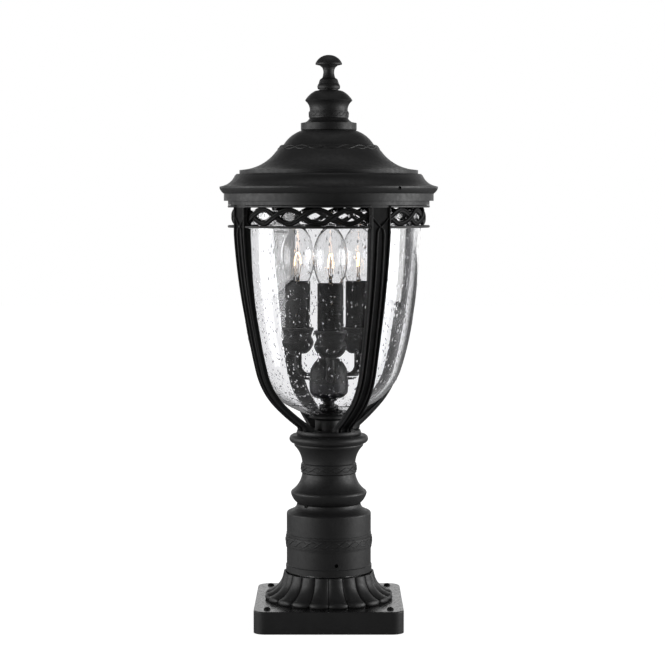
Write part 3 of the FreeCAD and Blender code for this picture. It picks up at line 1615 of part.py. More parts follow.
def write_parts():
    """Write each sub-part to its own file."""
    os.makedirs("parts", exist_ok=True)
    for body in nodes:
        body.Shape.exportStep(f"parts/{body.Label}.step")


build_base()
build_head()
build_roof()
document.recompute()
check_document()
write_parts()
print(f"{len(nodes)} sub-parts written")
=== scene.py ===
import json
from functools import partial
from math import atan, atan2, cos, hypot, pi, radians, sin, sqrt, tau

import bmesh
import bpy
from bpy.props import FloatProperty, FloatVectorProperty, IntProperty, PointerProperty
from mathutils import Matrix, Vector


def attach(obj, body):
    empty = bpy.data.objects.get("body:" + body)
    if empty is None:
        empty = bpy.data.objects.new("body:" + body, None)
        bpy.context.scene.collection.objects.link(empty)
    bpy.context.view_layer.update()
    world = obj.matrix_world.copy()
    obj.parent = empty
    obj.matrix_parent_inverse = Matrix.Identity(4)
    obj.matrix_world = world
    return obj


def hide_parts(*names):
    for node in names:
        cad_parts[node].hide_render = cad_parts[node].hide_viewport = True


bl_info = {
    "name": "Pedestal Light",
    "version": (1, 0, 0),
    "blender": (4, 5, 0),
    "location": "3D View > Sidebar > Pedestal Light",
    "description": "Dresses the frame of an outdoor pedestal light",
    "category": "Object",
}

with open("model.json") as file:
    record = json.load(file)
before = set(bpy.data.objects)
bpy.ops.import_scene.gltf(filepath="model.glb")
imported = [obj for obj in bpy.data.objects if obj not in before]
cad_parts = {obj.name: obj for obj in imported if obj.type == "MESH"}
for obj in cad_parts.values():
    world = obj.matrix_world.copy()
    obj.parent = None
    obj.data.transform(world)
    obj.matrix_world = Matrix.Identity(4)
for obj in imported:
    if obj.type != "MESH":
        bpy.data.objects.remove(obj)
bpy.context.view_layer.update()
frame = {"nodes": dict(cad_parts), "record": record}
MM = 0.001
WELD = 0.001 * MM

# Heights and radii of the frame that the dressed pieces meet, in metres
PLINTH_TOP = 22.6 * MM
COLLAR_TOP = 196.0 * MM
BAND_FOOT = 402.8 * MM
BAND_TOP = 425.3 * MM
CAGE_RADIUS = 103.4 * MM
STRAP_TURN = radians(-60)
STRAP_COUNT = 4
CANDLE_TURN = radians(-87.3)
CANDLE_CIRCLE = 36 * MM
CANDLE_COUNT = 3
BULB_FOOT = 341.6 * MM

# Side of a strap as shares of its reach and rise, with the roundness of each arc
STRAP_FOOT_RADIUS = 31.9 * MM
STRAP_RISE = 227.0 * MM
STRAP_SIDE_SHARES = [
    (0, 0), (0.015, 0.015, 0.03), (0.3245, 0.0897, 0.153), (0.6909, 0.2714, 0.02),
    (0.8196, 0.4523, 0.039), (1, 0.8798), (1, 1),
]

# Width of a strap, and how far its face and its back lie inwards, as shares of its
# width and depth, at shares of its rise
STRAP_TAPER_SHARES = [
    (0, 0.76, 0, 1), (0.04, 0.76, 0.08, 1), (0.1, 0.77, 0.2, 1), (0.37, 0.8, 0.22, 1),
    (0.54, 0.86, 0.18, 1), (0.7, 0.93, 0.1, 1.18), (0.82, 0.98, 0.04, 1.36),
    (0.9, 1.0, 0.0, 1.36), (1, 1.0, 0.0, 1.36),
]

# Side of the skirt's reeds as shares of its flare and rise
SKIRT_TOP_RADIUS = 46.4 * MM
SKIRT_FOOT_RADIUS = 65.8 * MM
SKIRT_RISE = 27.4 * MM
SKIRT_BORE = 38.5 * MM
SKIRT_SIDE_SHARES = [
    (0.95, 0, 0.3), (1, 0.1, 0.22), (0.9, 0.22, -0.24), (0.1, 0.72, -0.02), (0, 1),
]

# Outline of a strand as shares of half its depth and width; None is its grooved middle
STRAND_SHARES = [
    (0.0, -1.0), (0.55, -0.92), (0.9, -0.62), (1.0, -0.38), (None, 0.0),
    (1.0, 0.38), (0.9, 0.62), (0.55, 0.92), (0.0, 1.0), (-0.55, 0.92),
    (-0.95, 0.5), (-0.95, -0.5), (-0.55, -0.92),
]

# Twisted bands: name, body, radius, middle, swing, strand width in mm, slope and ovals
RELIEF_BANDS = [
    ("fitter_braid", "head", 43.9, 83.0, 2.8, 1.5, 0.0, 24),
    ("column_braid", "head", 28.3, 157.2, 2.2, 1.3, 0.0, 16),
    ("roof_braid", "roof", 50.15, 483.4, 1.7, 1.4, -0.8, 20),
    ("cupola_braid", "roof", 19.9, 516.9, 2.0, 1.1, 0.0, 20),
]

# Thin border beads: name, radius of the band and levels in mm
RELIEF_BORDERS = [
    ("fitter_borders", 43.9, (78.3, 87.4)),
    ("fitter_bead", 43.3, (90.3,)),
    ("column_borders", 28.1, (153.0, 161.2)),
]

# Section of a border bead from its band's radius and its level, in mm
BORDER_SECTION = [(-0.5, -0.45), (0.15, -0.4), (0.35, 0.0), (0.15, 0.4), (-0.5, 0.45)]

# Leads and supports of a filament and the half section of its glass stem, over the foot, in mm
WIRE_PATHS = [
    [(-1.2, 0, 1), (-1.8, 0, 12), (-3.4, 0, 21.5)],
    [(1.2, 0, 1), (1.8, 0, 12), (3.4, 0, 21.5)],
    [(0, 0.4, 10), (-0.6, 0.8, 24), (0, 0.6, 36), (0, -0.6, 35.4)],
    [(0, -0.4, 10), (1.6, -1.2, 20), (3.0, -0.8, 29), (2.6, 0.6, 28.6)],
]
STEM_SECTION = [(0.05, 0.5), (3.6, 0.5), (2.2, 4), (1.5, 13), (0.9, 14), (0.05, 14.2)]

# Scales of the coat's grain and patches, the limits of its roughness and its relief
COAT_GRAIN, COAT_PATCHES, COAT_MOTTLE, COAT_ORANGE_PEEL, WORN_SPOTS = 900, 240, 70, 320, 420
COAT_ROUGHNESS, WORN_ROUGHNESS = (0.44, 0.58), (0.16, 0.36)
GRAIN_DEPTH, GRAIN_STRENGTH, WORN_STRENGTH = 0.10 * MM, 0.6, 0.12
PEEL_DEPTH, PEEL_STRENGTH = 0.12 * MM, 0.35

# The part of a noise's range over which a colour or a roughness changes
NOISE_RANGE = (0.3, 0.7)


class BandSizes(bpy.types.PropertyGroup):
    """The open braided band at the top of the cage."""

    ovals: IntProperty(name="Ovals", description="Openings round the band", default=20, min=4)
    rise: FloatProperty(
        name="Strand rise", description="How far a strand swings above and below the middle",
        default=6.7 * MM, unit="LENGTH",
    )
    width: FloatProperty(
        name="Strand width", description="Width of a strand", default=5.0 * MM, unit="LENGTH"
    )
    depth: FloatProperty(
        name="Strand depth", description="Depth of a strand", default=3.6 * MM, unit="LENGTH"
    )
    weave: FloatProperty(
        name="Weave", description="How far a strand passes over or under the other",
        default=0.7 * MM, unit="LENGTH",
    )


class StrapSizes(bpy.types.PropertyGroup):
    """The four curved straps of the cage."""

    width: FloatProperty(
        name="Width", description="Width of a strap at its top", default=22 * MM, unit="LENGTH"
    )
    depth: FloatProperty(
        name="Depth", description="Depth of a strap", default=6 * MM, unit="LENGTH"
    )
    rim_rise: FloatProperty(
        name="Rim rise", description="Height of the raised rims", default=2.3 * MM, unit="LENGTH"
    )
    rib_rise: FloatProperty(
        name="Rib rise", description="Height of the inner ribs", default=2.0 * MM, unit="LENGTH"
    )
    rib_place: FloatProperty(
        name="Rib place", description="Ribs from the centre line where they run side by side",
        default=3.9 * MM, unit="LENGTH",
    )


class SkirtSizes(bpy.types.PropertyGroup):
    """The reeded skirt on the plinth."""

    reeds: IntProperty(name="Reeds", description="Reeds round the skirt", default=20, min=3)
    top_depth: FloatProperty(
        name="Depth at the top", description="How far a reed stands out at its top",
        default=2.0 * MM, unit="LENGTH",
    )
    foot_depth: FloatProperty(
        name="Depth at the foot", description="How far a reed stands out at its foot",
        default=3.2 * MM, unit="LENGTH",
    )


class GlassSizes(bpy.types.PropertyGroup):
    """The seeds in the glass urn."""

    density: FloatProperty(
        name="Seeds per square metre", description="How thickly the seeds lie", default=12000
    )
    smallest: FloatProperty(
        name="Smallest seed", description="Radius of a small seed", default=0.2 * MM, unit="LENGTH"
    )
    largest: FloatProperty(
        name="Largest seed", description="Radius of a large seed", default=0.85 * MM, unit="LENGTH"
    )


class Finishes(bpy.types.PropertyGroup):
    """Colours of the finishes."""

    coat: FloatVectorProperty(
        name="Powder coat", description="Colour of the black coat", subtype="COLOR",
        default=(0.0095, 0.0095, 0.0098),
    )
    glass: FloatVectorProperty(
        name="Glass", description="Tint of the urn", subtype="COLOR", default=(0.965, 0.965, 0.975)
    )
    # The seeds' grey tint is painted shade that makes them read against white
    seed: FloatVectorProperty(
        name="Seeds", description="Tint of the seeds", subtype="COLOR", default=(0.7, 0.7, 0.72)
    )
    glow: FloatVectorProperty(
        name="Filament", description="Colour of the lit filament", subtype="COLOR",
        default=(1.0, 0.56, 0.2),
    )


class StageSizes(bpy.types.PropertyGroup):
    """The camera and the studio light."""

    distance: FloatProperty(
        name="Distance", description="Camera in front of the axis", default=1.99, unit="LENGTH"
    )
    height: FloatProperty(
        name="Height", description="Camera over the floor", default=0.429, unit="LENGTH"
    )
    aside: FloatProperty(
        name="Aside", description="Camera to the right of the axis", default=0.0038, unit="LENGTH"
    )
    pitch: FloatProperty(
        name="Pitch", description="How far the camera looks down", default=radians(3.79),
        subtype="ANGLE",
    )
    lens: FloatProperty(name="Lens", description="Focal length in millimetres", default=105.78)
    left_light: FloatProperty(
        name="Left light", description="Power of the left softbox in watts", default=17
    )
    right_light: FloatProperty(
        name="Right light", description="Power of the right softbox in watts", default=18
    )
    top_light: FloatProperty(
        name="Top light", description="Power of the overhead softbox in watts", default=2.2
    )


class PedestalLight(bpy.types.PropertyGroup):
    """Every size and colour of the dressed light."""

    band: PointerProperty(type=BandSizes)
    strap: PointerProperty(type=StrapSizes)
    skirt: PointerProperty(type=SkirtSizes)
    glass: PointerProperty(type=GlassSizes)
    finish: PointerProperty(type=Finishes)
    stage: PointerProperty(type=StageSizes)


def added(name, data):
    """A new object in the scene."""
    piece = bpy.data.objects.new(name, data)
    bpy.context.scene.collection.objects.link(piece)
    return piece


def settle(piece, body, sharp, material=None):
    """Shade a finished mesh, give it its material and let it ride on its body."""
    if material is not None:
        piece.data.materials.clear()
        piece.data.materials.append(material)
    piece.data.shade_smooth()
    piece.data.set_sharp_from_angle(angle=radians(sharp))
    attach(piece, body)


def solid(name, points, faces, recess=None):
    """A closed mesh from points and faces, with its faces outwards."""
    mesh = bpy.data.meshes.new(name)
    mesh.from_pydata(points, [], faces)
    if recess is not None:
        # The recess share, which the coat turns into painted shade
        mesh.attributes.new("recess", "FLOAT", "POINT").data.foreach_set("value", recess)
    work = bmesh.new()
    work.from_mesh(mesh)
    bmesh.ops.remove_doubles(work, verts=work.verts, dist=WELD)
    bmesh.ops.recalc_face_normals(work, faces=work.faces)
    work.to_mesh(mesh)
    work.free()
    return added(name, mesh)


def skin(size, count, first=0, closed=False):
    """The faces between loops of points that lie one after another."""
    faces = []
    for row in range(count if closed else count - 1):
        here, there = first + row * size, first + (row + 1) % count * size
        for column in range(size):
            after = (column + 1) % size
            faces.append((here + column, here + after, there + after, there + column))
    return faces


def lofted(name, loops, recess=None):
    """A closed mesh over a row of loops, with a cap on the first and the last."""
    size, points = len(loops[0]), [point for loop in loops for point in loop]
    caps = [tuple(range(size)), tuple(range(len(points) - size, len(points)))]
    return solid(name, points, caps + skin(size, len(loops)), recess)


def turned_ring(name, sections, segments):
    """Closed sections of (radius, height) turned round the axis."""
    points, faces = [], []
    for section in sections:
        faces += skin(len(section), segments, len(points), closed=True)
        for index in range(segments):
            turn = tau * index / segments
            points += [(r * cos(turn), r * sin(turn), z) for r, z in section]
    return solid(name, points, faces)


def rounded_run(points, step):
    """A chain of (across, up, roundness) points as short even steps, its arcs drawn out."""
    run = []
    for point, after in zip(points, points[1:]):
        start, end = Vector(point[:2]), Vector(after[:2])
        bulge = point[2] if len(point) > 2 else 0
        chord = end - start
        count = max(1, round(chord.length / step))
        if not bulge:
            run += [start + chord * (index / count) for index in range(count)]
            continue
        left = Vector((-chord.y, chord.x))
        centre = (start + end) / 2 + left * ((1 - bulge * bulge) / (4 * bulge))
        turn = 4 * atan(bulge)
        for index in range(count):
            run.append(centre + Matrix.Rotation(turn * index / count, 2) @ (start - centre))
    run.append(Vector(points[-1][:2]))
    return run


def shared(shares, across, up):
    """Shares of two ranges as places, with their roundness."""
    wide, tall = across[1] - across[0], up[1] - up[0]
    return [(across[0] + wide * x, up[0] + tall * z, *bulge) for x, z, *bulge in shares]


def inward(run):
    """The unit directions to the left of an open chain."""
    ways = []
    for place in range(len(run)):
        way = (run[min(place + 1, len(run) - 1)] - run[max(place - 1, 0)]).normalized()
        ways.append(Vector((-way.y, way.x)))
    return ways


def evaluated(name, carrier):
    """A plain mesh object of what a carrier makes, in the carrier's place."""
    graph = bpy.context.evaluated_depsgraph_get()
    mesh = bpy.data.meshes.new_from_object(carrier.evaluated_get(graph))
    bpy.data.objects.remove(carrier)
    mesh.name = name
    if not mesh.polygons:
        raise RuntimeError(f"{name} came out empty")
    return added(name, mesh)


class Nodes:
    """A node tree that is built a node at a time."""

    def __init__(self, group):
        self.group = group

    def add(self, kind, inputs=None, **settings):
        """A node with its settings, and its inputs linked or set."""
        node = self.group.nodes.new(kind)
        for name, setting in settings.items():
            setattr(node, name, setting)
        for name, source in (inputs or {}).items():
            self.feed(node.inputs[name], source)
        return node

    def out(self, kind, inputs=None, **settings):
        """The first output of such a node."""
        return self.add(kind, inputs, **settings).outputs[0]

    def feed(self, socket, source):
        """Link or set one input."""
        if isinstance(source, bpy.types.NodeSocket):
            self.group.links.new(source, socket)
        else:
            socket.default_value = source

    def math(self, operation, *terms):
        """The result of one sum."""
        return self.out("ShaderNodeMath", dict(enumerate(terms)), operation=operation)

    def vector(self, *parts):
        """A vector from its parts."""
        return self.out("ShaderNodeCombineXYZ", dict(enumerate(parts)))

    def ranged(self, source, low, high, start=0.0, end=1.0, **settings):
        """From low to high while the source goes from start to end."""
        inputs = {0: source, 1: start, 2: end, 3: low, 4: high}
        return self.out("ShaderNodeMapRange", inputs, **settings)

    def mixed(self, share, first, second):
        """A number between two others."""
        return self.out("ShaderNodeMix", {0: share, 2: first, 3: second}, data_type="FLOAT")

    def seen(self):
        """One where the camera looks, also through glass, and zero for light on the object."""
        rays = self.add("ShaderNodeLightPath").outputs
        bounced = self.math("ADD", rays["Diffuse Depth"], rays["Glossy Depth"])
        clear = self.math("LESS_THAN", bounced, 0.5)
        through = self.math("MULTIPLY", rays["Is Transmission Ray"], clear)
        return self.math("MAXIMUM", rays["Is Camera Ray"], through)


class Tree(Nodes):
    """A Geometry Nodes tree with named inputs."""

    def __init__(self, name):
        super().__init__(bpy.data.node_groups.new(name, "GeometryNodeTree"))
        self.group.interface.new_socket(
            "Geometry", in_out="OUTPUT", socket_type="NodeSocketGeometry"
        )
        self.entry = self.group.nodes.new("NodeGroupInput")
        self.names = {}

    def size(self, name, kind="Float"):
        """A named input of the tree."""
        socket = self.group.interface.new_socket(
            name, in_out="INPUT", socket_type="NodeSocket" + kind
        )
        self.names[name] = socket.identifier
        return self.entry.outputs[name]

    def source(self, piece):
        """The mesh of an object."""
        return self.add("GeometryNodeObjectInfo", {"Object": piece}).outputs["Geometry"]

    def copies(self, points, instance, **inputs):
        """Copies of a mesh on points."""
        inputs = {"Points": points, "Instance": instance, **inputs}
        return self.out("GeometryNodeInstanceOnPoints", inputs)

    def finish(self, geometry, material):
        """Realize the result, give it its material and send it out."""
        real = self.out("GeometryNodeRealizeInstances", {"Geometry": geometry})
        coated = self.out("GeometryNodeSetMaterial", {"Geometry": real, "Material": material})
        self.add("NodeGroupOutput", {0: coated})
        return self

    def made(self, name, **values):
        """A plain mesh object of what the tree makes with these values."""
        carrier = added(name, bpy.data.meshes.new(name))
        modifier = carrier.modifiers.new(name, "NODES")
        modifier.node_group = self.group
        for size, value in values.items():
            modifier[self.names[size]] = value
        return evaluated(name, carrier)


def braid_tree():
    """Two strands that swing round a ring in opposite ways and pass over and under."""
    tree = Tree("Braid")
    times, plus = partial(tree.math, "MULTIPLY"), partial(tree.math, "ADD")
    radius, level, rise, slope = map(tree.size, ("Radius", "Level", "Rise", "Slope"))
    bulge, weave, turn = map(tree.size, ("Bulge", "Weave", "Turn"))
    ovals, steps = tree.size("Ovals", "Int"), tree.size("Steps", "Int")
    section, material = tree.size("Section", "Object"), tree.size("Material", "Material")
    ring = tree.out(
        "GeometryNodeCurvePrimitiveCircle", {"Resolution": times(ovals, steps), "Radius": radius}
    )
    place = tree.out("GeometryNodeInputPosition")
    parts = tree.add("ShaderNodeSeparateXYZ", {"Vector": place}).outputs
    angle = tree.math("ARCTAN2", parts[1], parts[0])
    cosine, sine = tree.math("COSINE", angle), tree.math("SINE", angle)
    phase = times(tree.math("DIVIDE", ovals, 2.0), tree.math("SUBTRACT", angle, turn))
    wave = tree.math("SINE", phase)
    over = times(tree.math("COSINE", phase), weave)
    drop = times(times(wave, wave), bulge)
    profile = tree.out("GeometryNodeMeshToCurve", {"Mesh": tree.source(section)})
    join = tree.add("GeometryNodeJoinGeometry")
    for sign in (1.0, -1.0):
        swing = times(times(wave, rise), sign)
        reach = tree.math("SUBTRACT", plus(radius, times(over, sign)), drop)
        reach = plus(reach, times(swing, slope))
        spot = tree.vector(times(reach, cosine), times(reach, sine), plus(level, swing))
        strand = tree.out("GeometryNodeSetPosition", {"Geometry": ring, "Position": spot})
        upright = tree.out("GeometryNodeSetCurveNormal", {"Curve": strand}, mode="Z_UP")
        curves = {"Curve": upright, "Profile Curve": profile}
        tree.feed(join.inputs[0], tree.out("GeometryNodeCurveToMesh", curves))
    return tree.finish(join.outputs[0], material)


def ring_tree():
    """Copies of one piece at even steps round the axis."""
    tree = Tree("Ring of copies")
    piece, count = tree.size("Piece", "Object"), tree.size("Count", "Int")
    turn, material = tree.size("Turn"), tree.size("Material", "Material")
    points = tree.out("GeometryNodePoints", {"Count": count, "Position": (0.0, 0.0, 0.0)})
    index = tree.out("GeometryNodeInputIndex")
    pitch = tree.math("DIVIDE", tau, count)
    angle = tree.math("ADD", tree.math("MULTIPLY", index, pitch), turn)
    spin = tree.vector(0.0, 0.0, angle)
    return tree.finish(tree.copies(points, tree.source(piece), Rotation=spin), material)


def seed_tree():
    """Small drawn-out drops scattered over a surface."""
    flatness, rarity, shortest, longest = 0.8, 3.0, 1.0, 3.2
    tree = Tree("Seeds")
    surface, drop = tree.size("Surface", "Object"), tree.size("Drop", "Object")
    density, smallest, largest = map(tree.size, ("Density", "Smallest", "Largest"))
    seed, material = tree.size("Seed", "Int"), tree.size("Material", "Material")
    spread = tree.add(
        "GeometryNodeDistributePointsOnFaces",
        {"Mesh": tree.source(surface), "Density": density, "Seed": seed},
        distribute_method="RANDOM",
    ).outputs
    chance = tree.add("FunctionNodeRandomValue", {"Seed": seed}, data_type="FLOAT")
    few = tree.math("POWER", chance.outputs[1], rarity)
    reach = tree.math("SUBTRACT", largest, smallest)
    size = tree.math("ADD", smallest, tree.math("MULTIPLY", few, reach))
    limits = {2: shortest, 3: longest, "Seed": tree.math("ADD", seed, 1.0)}
    length = tree.add("FunctionNodeRandomValue", limits, data_type="FLOAT")
    flat = tree.math("MULTIPLY", size, flatness)
    scale = tree.vector(flat, size, tree.math("MULTIPLY", size, length.outputs[1]))
    facing = tree.out("FunctionNodeAlignRotationToVector", {"Vector": spread["Normal"]}, axis="X")
    copies = tree.copies(spread["Points"], tree.source(drop), Rotation=facing, Scale=scale)
    return tree.finish(copies, material)


class Surface(Nodes):
    """A material that is built a node at a time."""

    def __init__(self, name):
        self.material = bpy.data.materials.new(name)
        self.material.use_nodes = True
        super().__init__(self.material.node_tree)
        self.shader = self.group.nodes["Principled BSDF"]
        self.place = self.group.nodes.new("ShaderNodeTexCoord").outputs["Object"]

    def set(self, **sources):
        """Link or set the shader's own sockets."""
        for name, source in sources.items():
            self.feed(self.shader.inputs[name.replace("_", " ")], source)

    def drawn_out(self, shares):
        """The piece's own place, drawn out."""
        return self.out("ShaderNodeMapping", {"Vector": self.place, "Scale": shares})

    def noise(self, scale, detail, stretch=None):
        """Noise on the piece's own place, which may be drawn out."""
        place = self.place if stretch is None else self.drawn_out(stretch)
        return self.out("ShaderNodeTexNoise", {"Vector": place, "Scale": scale, "Detail": detail})

    def spread(self, source, low, high):
        """A number between two limits, from noise."""
        return self.ranged(source, low, high, *NOISE_RANGE)

    def ramp(self, source, low, high, ends=NOISE_RANGE):
        """A colour between two, while the source goes from one end to the other."""
        ramp = self.add("ShaderNodeValToRGB", {0: source})
        for element, end, colour in zip(ramp.color_ramp.elements, ends, (low, high)):
            element.position = end
            element.color = (*colour, 1)
        return ramp.outputs[0]

    def colour(self, source, low, high):
        """A colour between two, from noise, on the base colour."""
        self.set(Base_Color=self.ramp(source, low, high))

    def bump(self, source, distance, strength):
        """Relief from a height, on top of any relief before it."""
        inputs = {"Height": source, "Distance": distance, "Strength": strength}
        before = self.shader.inputs["Normal"].links
        if before:
            inputs["Normal"] = before[0].from_socket
        self.set(Normal=self.out("ShaderNodeBump", inputs))


def lighter(colour, times):
    """A colour made lighter or darker."""
    return tuple(channel * times for channel in colour)


def black_surface(name, finish):
    """A surface in the coat's mottled black, with its usual roughness."""
    coat = Surface(name)
    base = tuple(finish.coat)
    coat.colour(coat.noise(COAT_MOTTLE, 4), lighter(base, 0.8), lighter(base, 1.3))
    return coat, coat.spread(coat.noise(COAT_PATCHES, 3), *COAT_ROUGHNESS)


def powder_coat(finish):
    """Fine-textured matte black coat on castings, with painted shade: less shine where it lies
    recessed.
    """
    shine, shaded_recess_shine = 0.5, 0.09
    coat, plain = black_surface("powder_coat", finish)
    recess = coat.add("ShaderNodeAttribute", attribute_name="recess").outputs["Fac"]
    # Painted shade: the recess share lowers the shine on strap channel floors and sides
    coat.set(Specular_IOR_Level=coat.ranged(recess, shine, shaded_recess_shine), Roughness=plain)
    coat.bump(coat.noise(COAT_GRAIN, 3), GRAIN_DEPTH, GRAIN_STRENGTH)
    coat.bump(coat.noise(COAT_ORANGE_PEEL, 2), PEEL_DEPTH, PEEL_STRENGTH)
    return coat.material


def deck_coat(finish):
    """The same coat on the plinth, worn smoother in spots on its upper face."""
    under, near = PLINTH_TOP - 0.6 * MM, PLINTH_TOP - 0.1 * MM
    coat, plain = black_surface("plinth_coat", finish)
    level = coat.add("ShaderNodeSeparateXYZ", {0: coat.place}).outputs[2]
    deck = coat.ranged(level, 0.0, 1.0, under, near)
    worn = coat.spread(coat.noise(WORN_SPOTS, 4), *WORN_ROUGHNESS)
    coat.set(Roughness=coat.mixed(deck, plain, worn))
    strength = coat.ranged(deck, GRAIN_STRENGTH, WORN_STRENGTH)
    coat.bump(coat.noise(COAT_GRAIN, 3), GRAIN_DEPTH, strength)
    return coat.material


def plain_coat(name, colour, roughness, metal=0.0, grain=600, relief=0.03, sheen=0.5):
    """A coat or metal with a little grain."""
    coat = Surface(name)
    coat.colour(coat.noise(grain / 8, 3), lighter(colour, 0.85), lighter(colour, 1.12))
    rough = coat.spread(coat.noise(grain / 3, 3), roughness - 0.06, roughness + 0.08)
    coat.set(Metallic=metal, Specular_IOR_Level=sheen, Roughness=rough)
    coat.bump(coat.noise(grain, 3), relief * MM, 0.5)
    return coat.material


def drawn_metal(name, colour, roughness):
    """Metal with fine marks along its length."""
    scale, along, depth = 900, (1.0, 1.0, 0.05), 0.02 * MM
    metal = Surface(name)
    marks = metal.noise(scale, 2, along)
    metal.colour(marks, lighter(colour, 0.8), colour)
    rough = metal.spread(marks, roughness - 0.08, roughness + 0.1)
    metal.set(Metallic=1.0, Roughness=rough)
    metal.bump(marks, depth, 0.4)
    return metal.material


def clear_surface(name, roughness, index):
    """Clear glass of a given refractive index."""
    glass = Surface(name)
    glass.set(Roughness=roughness, IOR=index, Transmission_Weight=1.0)
    return glass


def seeded_glass(finish):
    """Clear blown glass with a faint tint, waves and very small seeds."""
    wave_scale, wave_share, wave_depth = 26, (1.0, 1.0, 0.6), 0.5 * MM
    cell_scale, cell_share, pit_reach, pit_depth = 230.0, (1.0, 1.0, 0.45), 0.2, 0.25 * MM
    glass = clear_surface("seeded_glass", 0.0, 1.47)
    tint = tuple(finish.glass)
    glass.colour(glass.noise(30, 2), lighter(tint, 0.975), tint)
    glass.bump(glass.noise(wave_scale, 1, wave_share), wave_depth, 0.25)
    inputs = {"Vector": glass.drawn_out(cell_share), "Scale": cell_scale}
    cells = glass.add("ShaderNodeTexVoronoi", inputs).outputs["Distance"]
    glass.bump(glass.ranged(cells, 1.0, 0.0, 0.0, pit_reach), pit_depth, 0.6)
    return glass.material


def seed_glass(finish):
    """The seeds, tinted darker as painted shade, so that they read against white."""
    seeds = clear_surface("glass_seed", 0.02, 1.5)
    # Painted shade: the grey tint darkens the seeds in place of their refraction
    tint = tuple(finish.seed)
    seeds.colour(seeds.noise(300, 1), lighter(tint, 0.7), lighter(tint, 1.25))
    return seeds.material


def bulb_glass():
    """Thin clear glass."""
    glass = clear_surface("bulb_glass", 0.0, 1.45)
    glass.colour(glass.noise(60, 1), (0.975, 0.975, 0.975), (0.99, 0.99, 0.99))
    glass.bump(glass.noise(50, 1), 0.1 * MM, 0.2)
    return glass.material


def lit_wire(finish):
    """A filament that glows, whiter in spots from noise."""
    hot, strength = (1.0, 0.86, 0.6), 5.0
    wire = Surface("lit_filament")
    base = tuple(finish.glow)
    wire.colour(wire.noise(400, 2), lighter(base, 0.8), base)
    glow = wire.ramp(wire.noise(260, 2), lighter(base, 0.7), hot, (0.0, 1.0))
    wire.set(Emission_Color=glow, Emission_Strength=strength)
    return wire.material


class PEDESTAL_OT_frame_finishes(bpy.types.Operator):
    """Give every piece of the frame its finish"""

    bl_idname = "pedestal.frame_finishes"
    bl_label = "Frame finishes"

    def execute(self, context):
        finish = context.scene.pedestal_light.finish
        by_slot = {
            "black_coat": powder_coat(finish),
            "black_screws": plain_coat("black_screw", (0.007, 0.007, 0.007), 0.6, sheen=0.12),
            "plated_steel": drawn_metal("zinc_plate", (0.5, 0.5, 0.48), 0.38),
            "post_aluminium": drawn_metal("post_tube", (0.62, 0.62, 0.62), 0.34),
            "earth_brass": plain_coat("earth_brass", (0.62, 0.42, 0.14), 0.32, 1.0),
            "soft_rubber": plain_coat("soft_rubber", (0.02, 0.02, 0.02), 0.72, 0.0, 500, 0.05),
            "seeded_glass": seeded_glass(finish),
            "bulb_clear": bulb_glass(),
            "filament_glow": lit_wire(finish),
            "lead_sheath": plain_coat("lead_sheath", (0.7, 0.7, 0.68), 0.55),
            "terminal_plastic": plain_coat("terminal_plastic", (0.72, 0.71, 0.66), 0.35),
            "candle_dark": plain_coat(
                "candle_sleeve", (0.006, 0.006, 0.006), 0.55, 0.0, 500, 0.06, 0.25
            ),
            "holder_plastic": plain_coat("lampholder", (0.02, 0.02, 0.02), 0.45),
            "cap_metal": plain_coat("bulb_cap", (0.6, 0.56, 0.45), 0.3, 1.0),
        }
        own_finish = {
            "cluster_cup": plain_coat("cluster_coat", (0.02, 0.02, 0.026), 0.38),
            "base_plinth": deck_coat(finish),
            "stem_tube": by_slot["black_coat"],
            "glass_lock_nut": by_slot["black_coat"],
        }
        for part in frame["record"]["subparts"]:
            materials = frame["nodes"][part["node"]].data.materials
            materials.clear()
            materials.append(own_finish.get(part["node"], by_slot[part["material_slot"]]))
        return {"FINISHED"}


def coat_of(name):
    """A finish that the frame already has."""
    return bpy.data.materials[name]


def braided(tree, name, width, depth, groove, material, **values):
    """A ring of two strands whose outer face may have a groove along its middle."""
    shares = [(1.0 - groove if x is None else x, y) for x, y in STRAND_SHARES]
    points = [(x * depth / 2, y * width / 2, 0) for x, y in shares]
    edges = [(index, (index + 1) % len(points)) for index in range(len(points))]
    mesh = bpy.data.meshes.new(name + "_section")
    mesh.from_pydata(points, edges, [])
    section = added(name + "_section", mesh)
    piece = tree.made(name, Section=section, Material=material, **values)
    bpy.data.objects.remove(section)
    return piece


def ring_of(name, piece, count, turn, material):
    """Copies of a piece round the axis, in its place."""
    copies = ring_tree().made(name, Piece=piece, Count=count, Turn=turn, Material=material)
    bpy.data.objects.remove(piece)
    return copies


